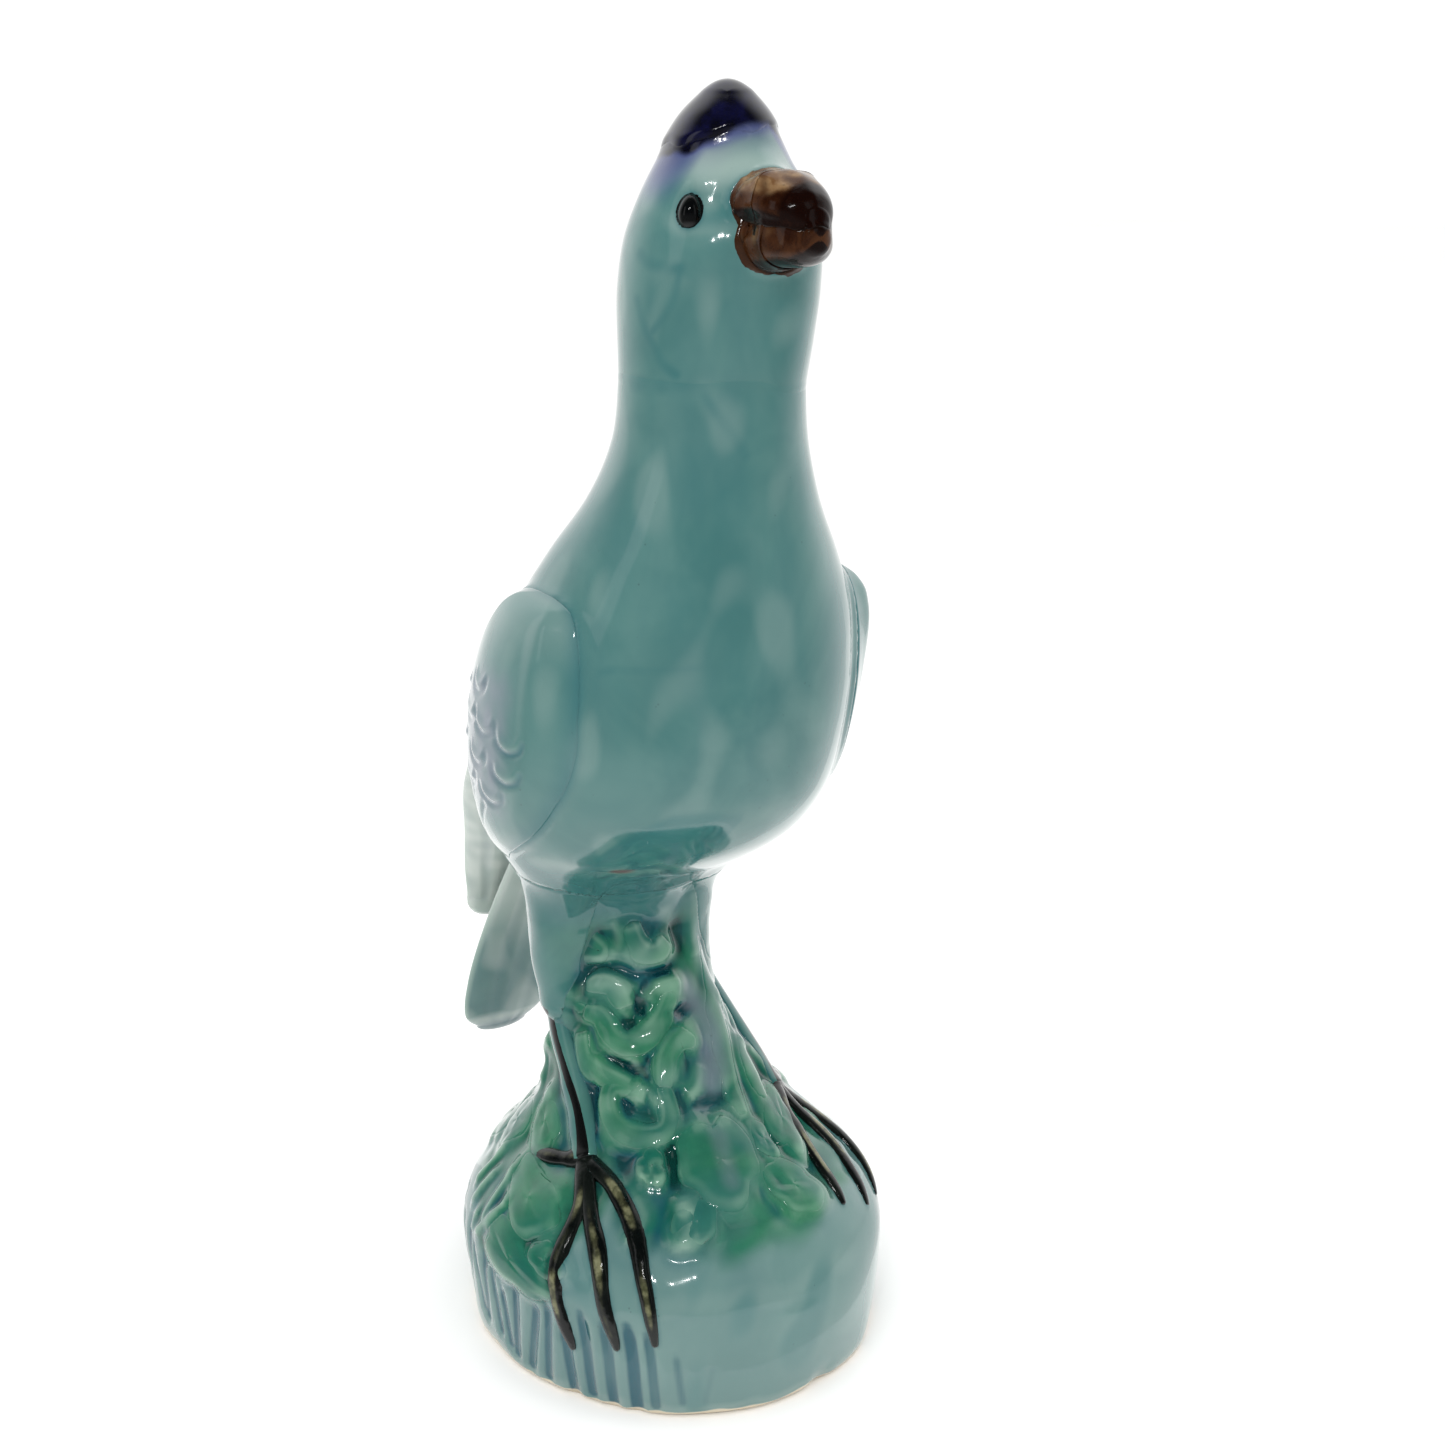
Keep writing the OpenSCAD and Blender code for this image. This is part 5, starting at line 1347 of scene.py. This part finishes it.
world = bpy.data.worlds.new("studio")
bpy.context.scene.world = world
world.use_nodes = True
bg = world.node_tree.nodes["Background"]
bg.inputs[0].default_value = (1, 1, 1, 1)
bg.inputs[1].default_value = 1.05


def area(name, loc, target, size, energy, size_y=None, gloss=True):
    l = bpy.data.lights.new(name, "AREA")
    l.energy = energy
    l.size = size
    if size_y:
        l.shape, l.size_y = "RECTANGLE", size_y
    o = bpy.data.objects.new(name, l)
    o.location = loc
    o.rotation_euler = (Vector(target) - Vector(loc)).to_track_quat("-Z", "Y").to_euler()
    o.visible_glossy = gloss
    bpy.context.scene.collection.objects.link(o)
    return o


area("key", (-.55, -.55, .75), (0, 0, .1), .5, 2.0, gloss=False)
area("fill", (.75, -.35, .45), (0, 0, .1), .45, .7, .7, gloss=False)
area("top", (0, .1, 1.0), (0, 0, .1), .6, 2.0, gloss=False)
for i, at in enumerate(((-.34, -.62, .66), (-.26, -.67, .70), (-.42, -.56, .60))):
    area("spark_%d" % i, at, (0, 0, .12), .032, .28)


def panel(name, grid, level):
    """a dark or pale card, seen only in the glaze's reflections; level is its brightness at each corner"""
    nu, nv = grid.shape[0] - 1, grid.shape[1] - 1
    me = bpy.data.meshes.new(name)
    me.from_pydata([tuple(v) for v in grid.reshape(-1, 3)], [],
                   [(i * (nv + 1) + j, (i + 1) * (nv + 1) + j, (i + 1) * (nv + 1) + j + 1, i * (nv + 1) + j + 1) for i in range(nu) for j in range(nv)])
    a = me.attributes.new("level", "FLOAT", "POINT")
    a.data.foreach_set("value", np.asarray(level, np.float32).ravel())
    o = bpy.data.objects.new(name, me)
    m = bpy.data.materials.new(name)
    m.use_nodes = True
    m.node_tree.nodes.clear()
    e = m.node_tree.nodes.new("ShaderNodeEmission")
    at = m.node_tree.nodes.new("ShaderNodeAttribute")
    at.attribute_name = "level"
    m.node_tree.links.new(at.outputs["Fac"], e.inputs[1])
    out = m.node_tree.nodes.new("ShaderNodeOutputMaterial")
    m.node_tree.links.new(e.outputs[0], out.inputs[0])
    me.materials.append(m)
    bpy.context.scene.collection.objects.link(o)
    o.visible_camera = o.visible_diffuse = o.visible_shadow = o.visible_transmission = False


def dome(az0, az1, el0, el1, rad, nu=72, nv=40):
    a, e = np.meshgrid(np.radians(np.linspace(az0, az1, nu + 1)), np.radians(np.linspace(el0, el1, nv + 1)), indexing="ij")
    return np.stack([rad * np.sin(a) * np.cos(e), -rad * np.cos(a) * np.cos(e), rad * np.sin(e)], -1), np.degrees(a), np.degrees(e)


G, a, e = dome(-165, 111, 0, 90, 1.3)
front = 1 - sm(np.abs(a + 27), 78, 134) * (1 - sm(e, 60, 85) * .5)
panel("card_dark", G, 1.05 * (1 - front) + front * (.03 + .11 * (1 - sm(e, 0, 30))))
G, a, e = dome(-92, -74, 6, 46, 1.25, 20, 20)
panel("card_left", G, .03 + .45 * sm(9 - np.abs(a + 83), 0, 2.5) * sm(20 - np.abs(e - 26), 0, 4))
G, a, e = dome(14, 32, 10, 52, 1.25, 20, 20)
panel("card_right", G, .03 + .22 * sm(9 - np.abs(a - 23), 0, 2.5) * sm(21 - np.abs(e - 31), 0, 4))
a, q = np.meshgrid(np.radians(np.linspace(-165, 111, 73)), np.linspace(.046, 1.3, 60), indexing="ij")
front = 1 - sm(np.abs(np.degrees(a) + 27), 78, 134)
panel("card_low", np.stack([q * np.sin(a), -q * np.cos(a), 0 * a + .002], -1), 1.0 * (1 - front) + front * (.14 + .74 * (1 - sm(q, .03, .34))))

az, D, hgt, pitch, dyaw, Fpx = -27.0, .310, .195, 16.6, -1.6, 2035.0
A = math.radians(az)
yaw = math.radians(az + dyaw)
pt = math.radians(pitch)
f = Vector((-math.sin(yaw) * math.cos(pt), math.cos(yaw) * math.cos(pt), -math.sin(pt)))
r = f.cross(Vector((0, 0, 1))).normalized()
u = r.cross(f)
cam = bpy.data.cameras.new("camera")
cam.sensor_fit, cam.sensor_width = "HORIZONTAL", 36
cam.lens = 36 * Fpx / 1445
cam.clip_start, cam.clip_end = .01, 20
co = bpy.data.objects.new("camera", cam)
co.matrix_world = Matrix(((r.x, u.x, -f.x, D * math.sin(A)), (r.y, u.y, -f.y, -D * math.cos(A)), (r.z, u.z, -f.z, hgt), (0, 0, 0, 1)))
bpy.context.scene.collection.objects.link(co)
bpy.context.scene.camera = co
bpy.context.scene.view_settings.view_transform = "Standard"
bpy.context.scene.view_settings.look = "None"
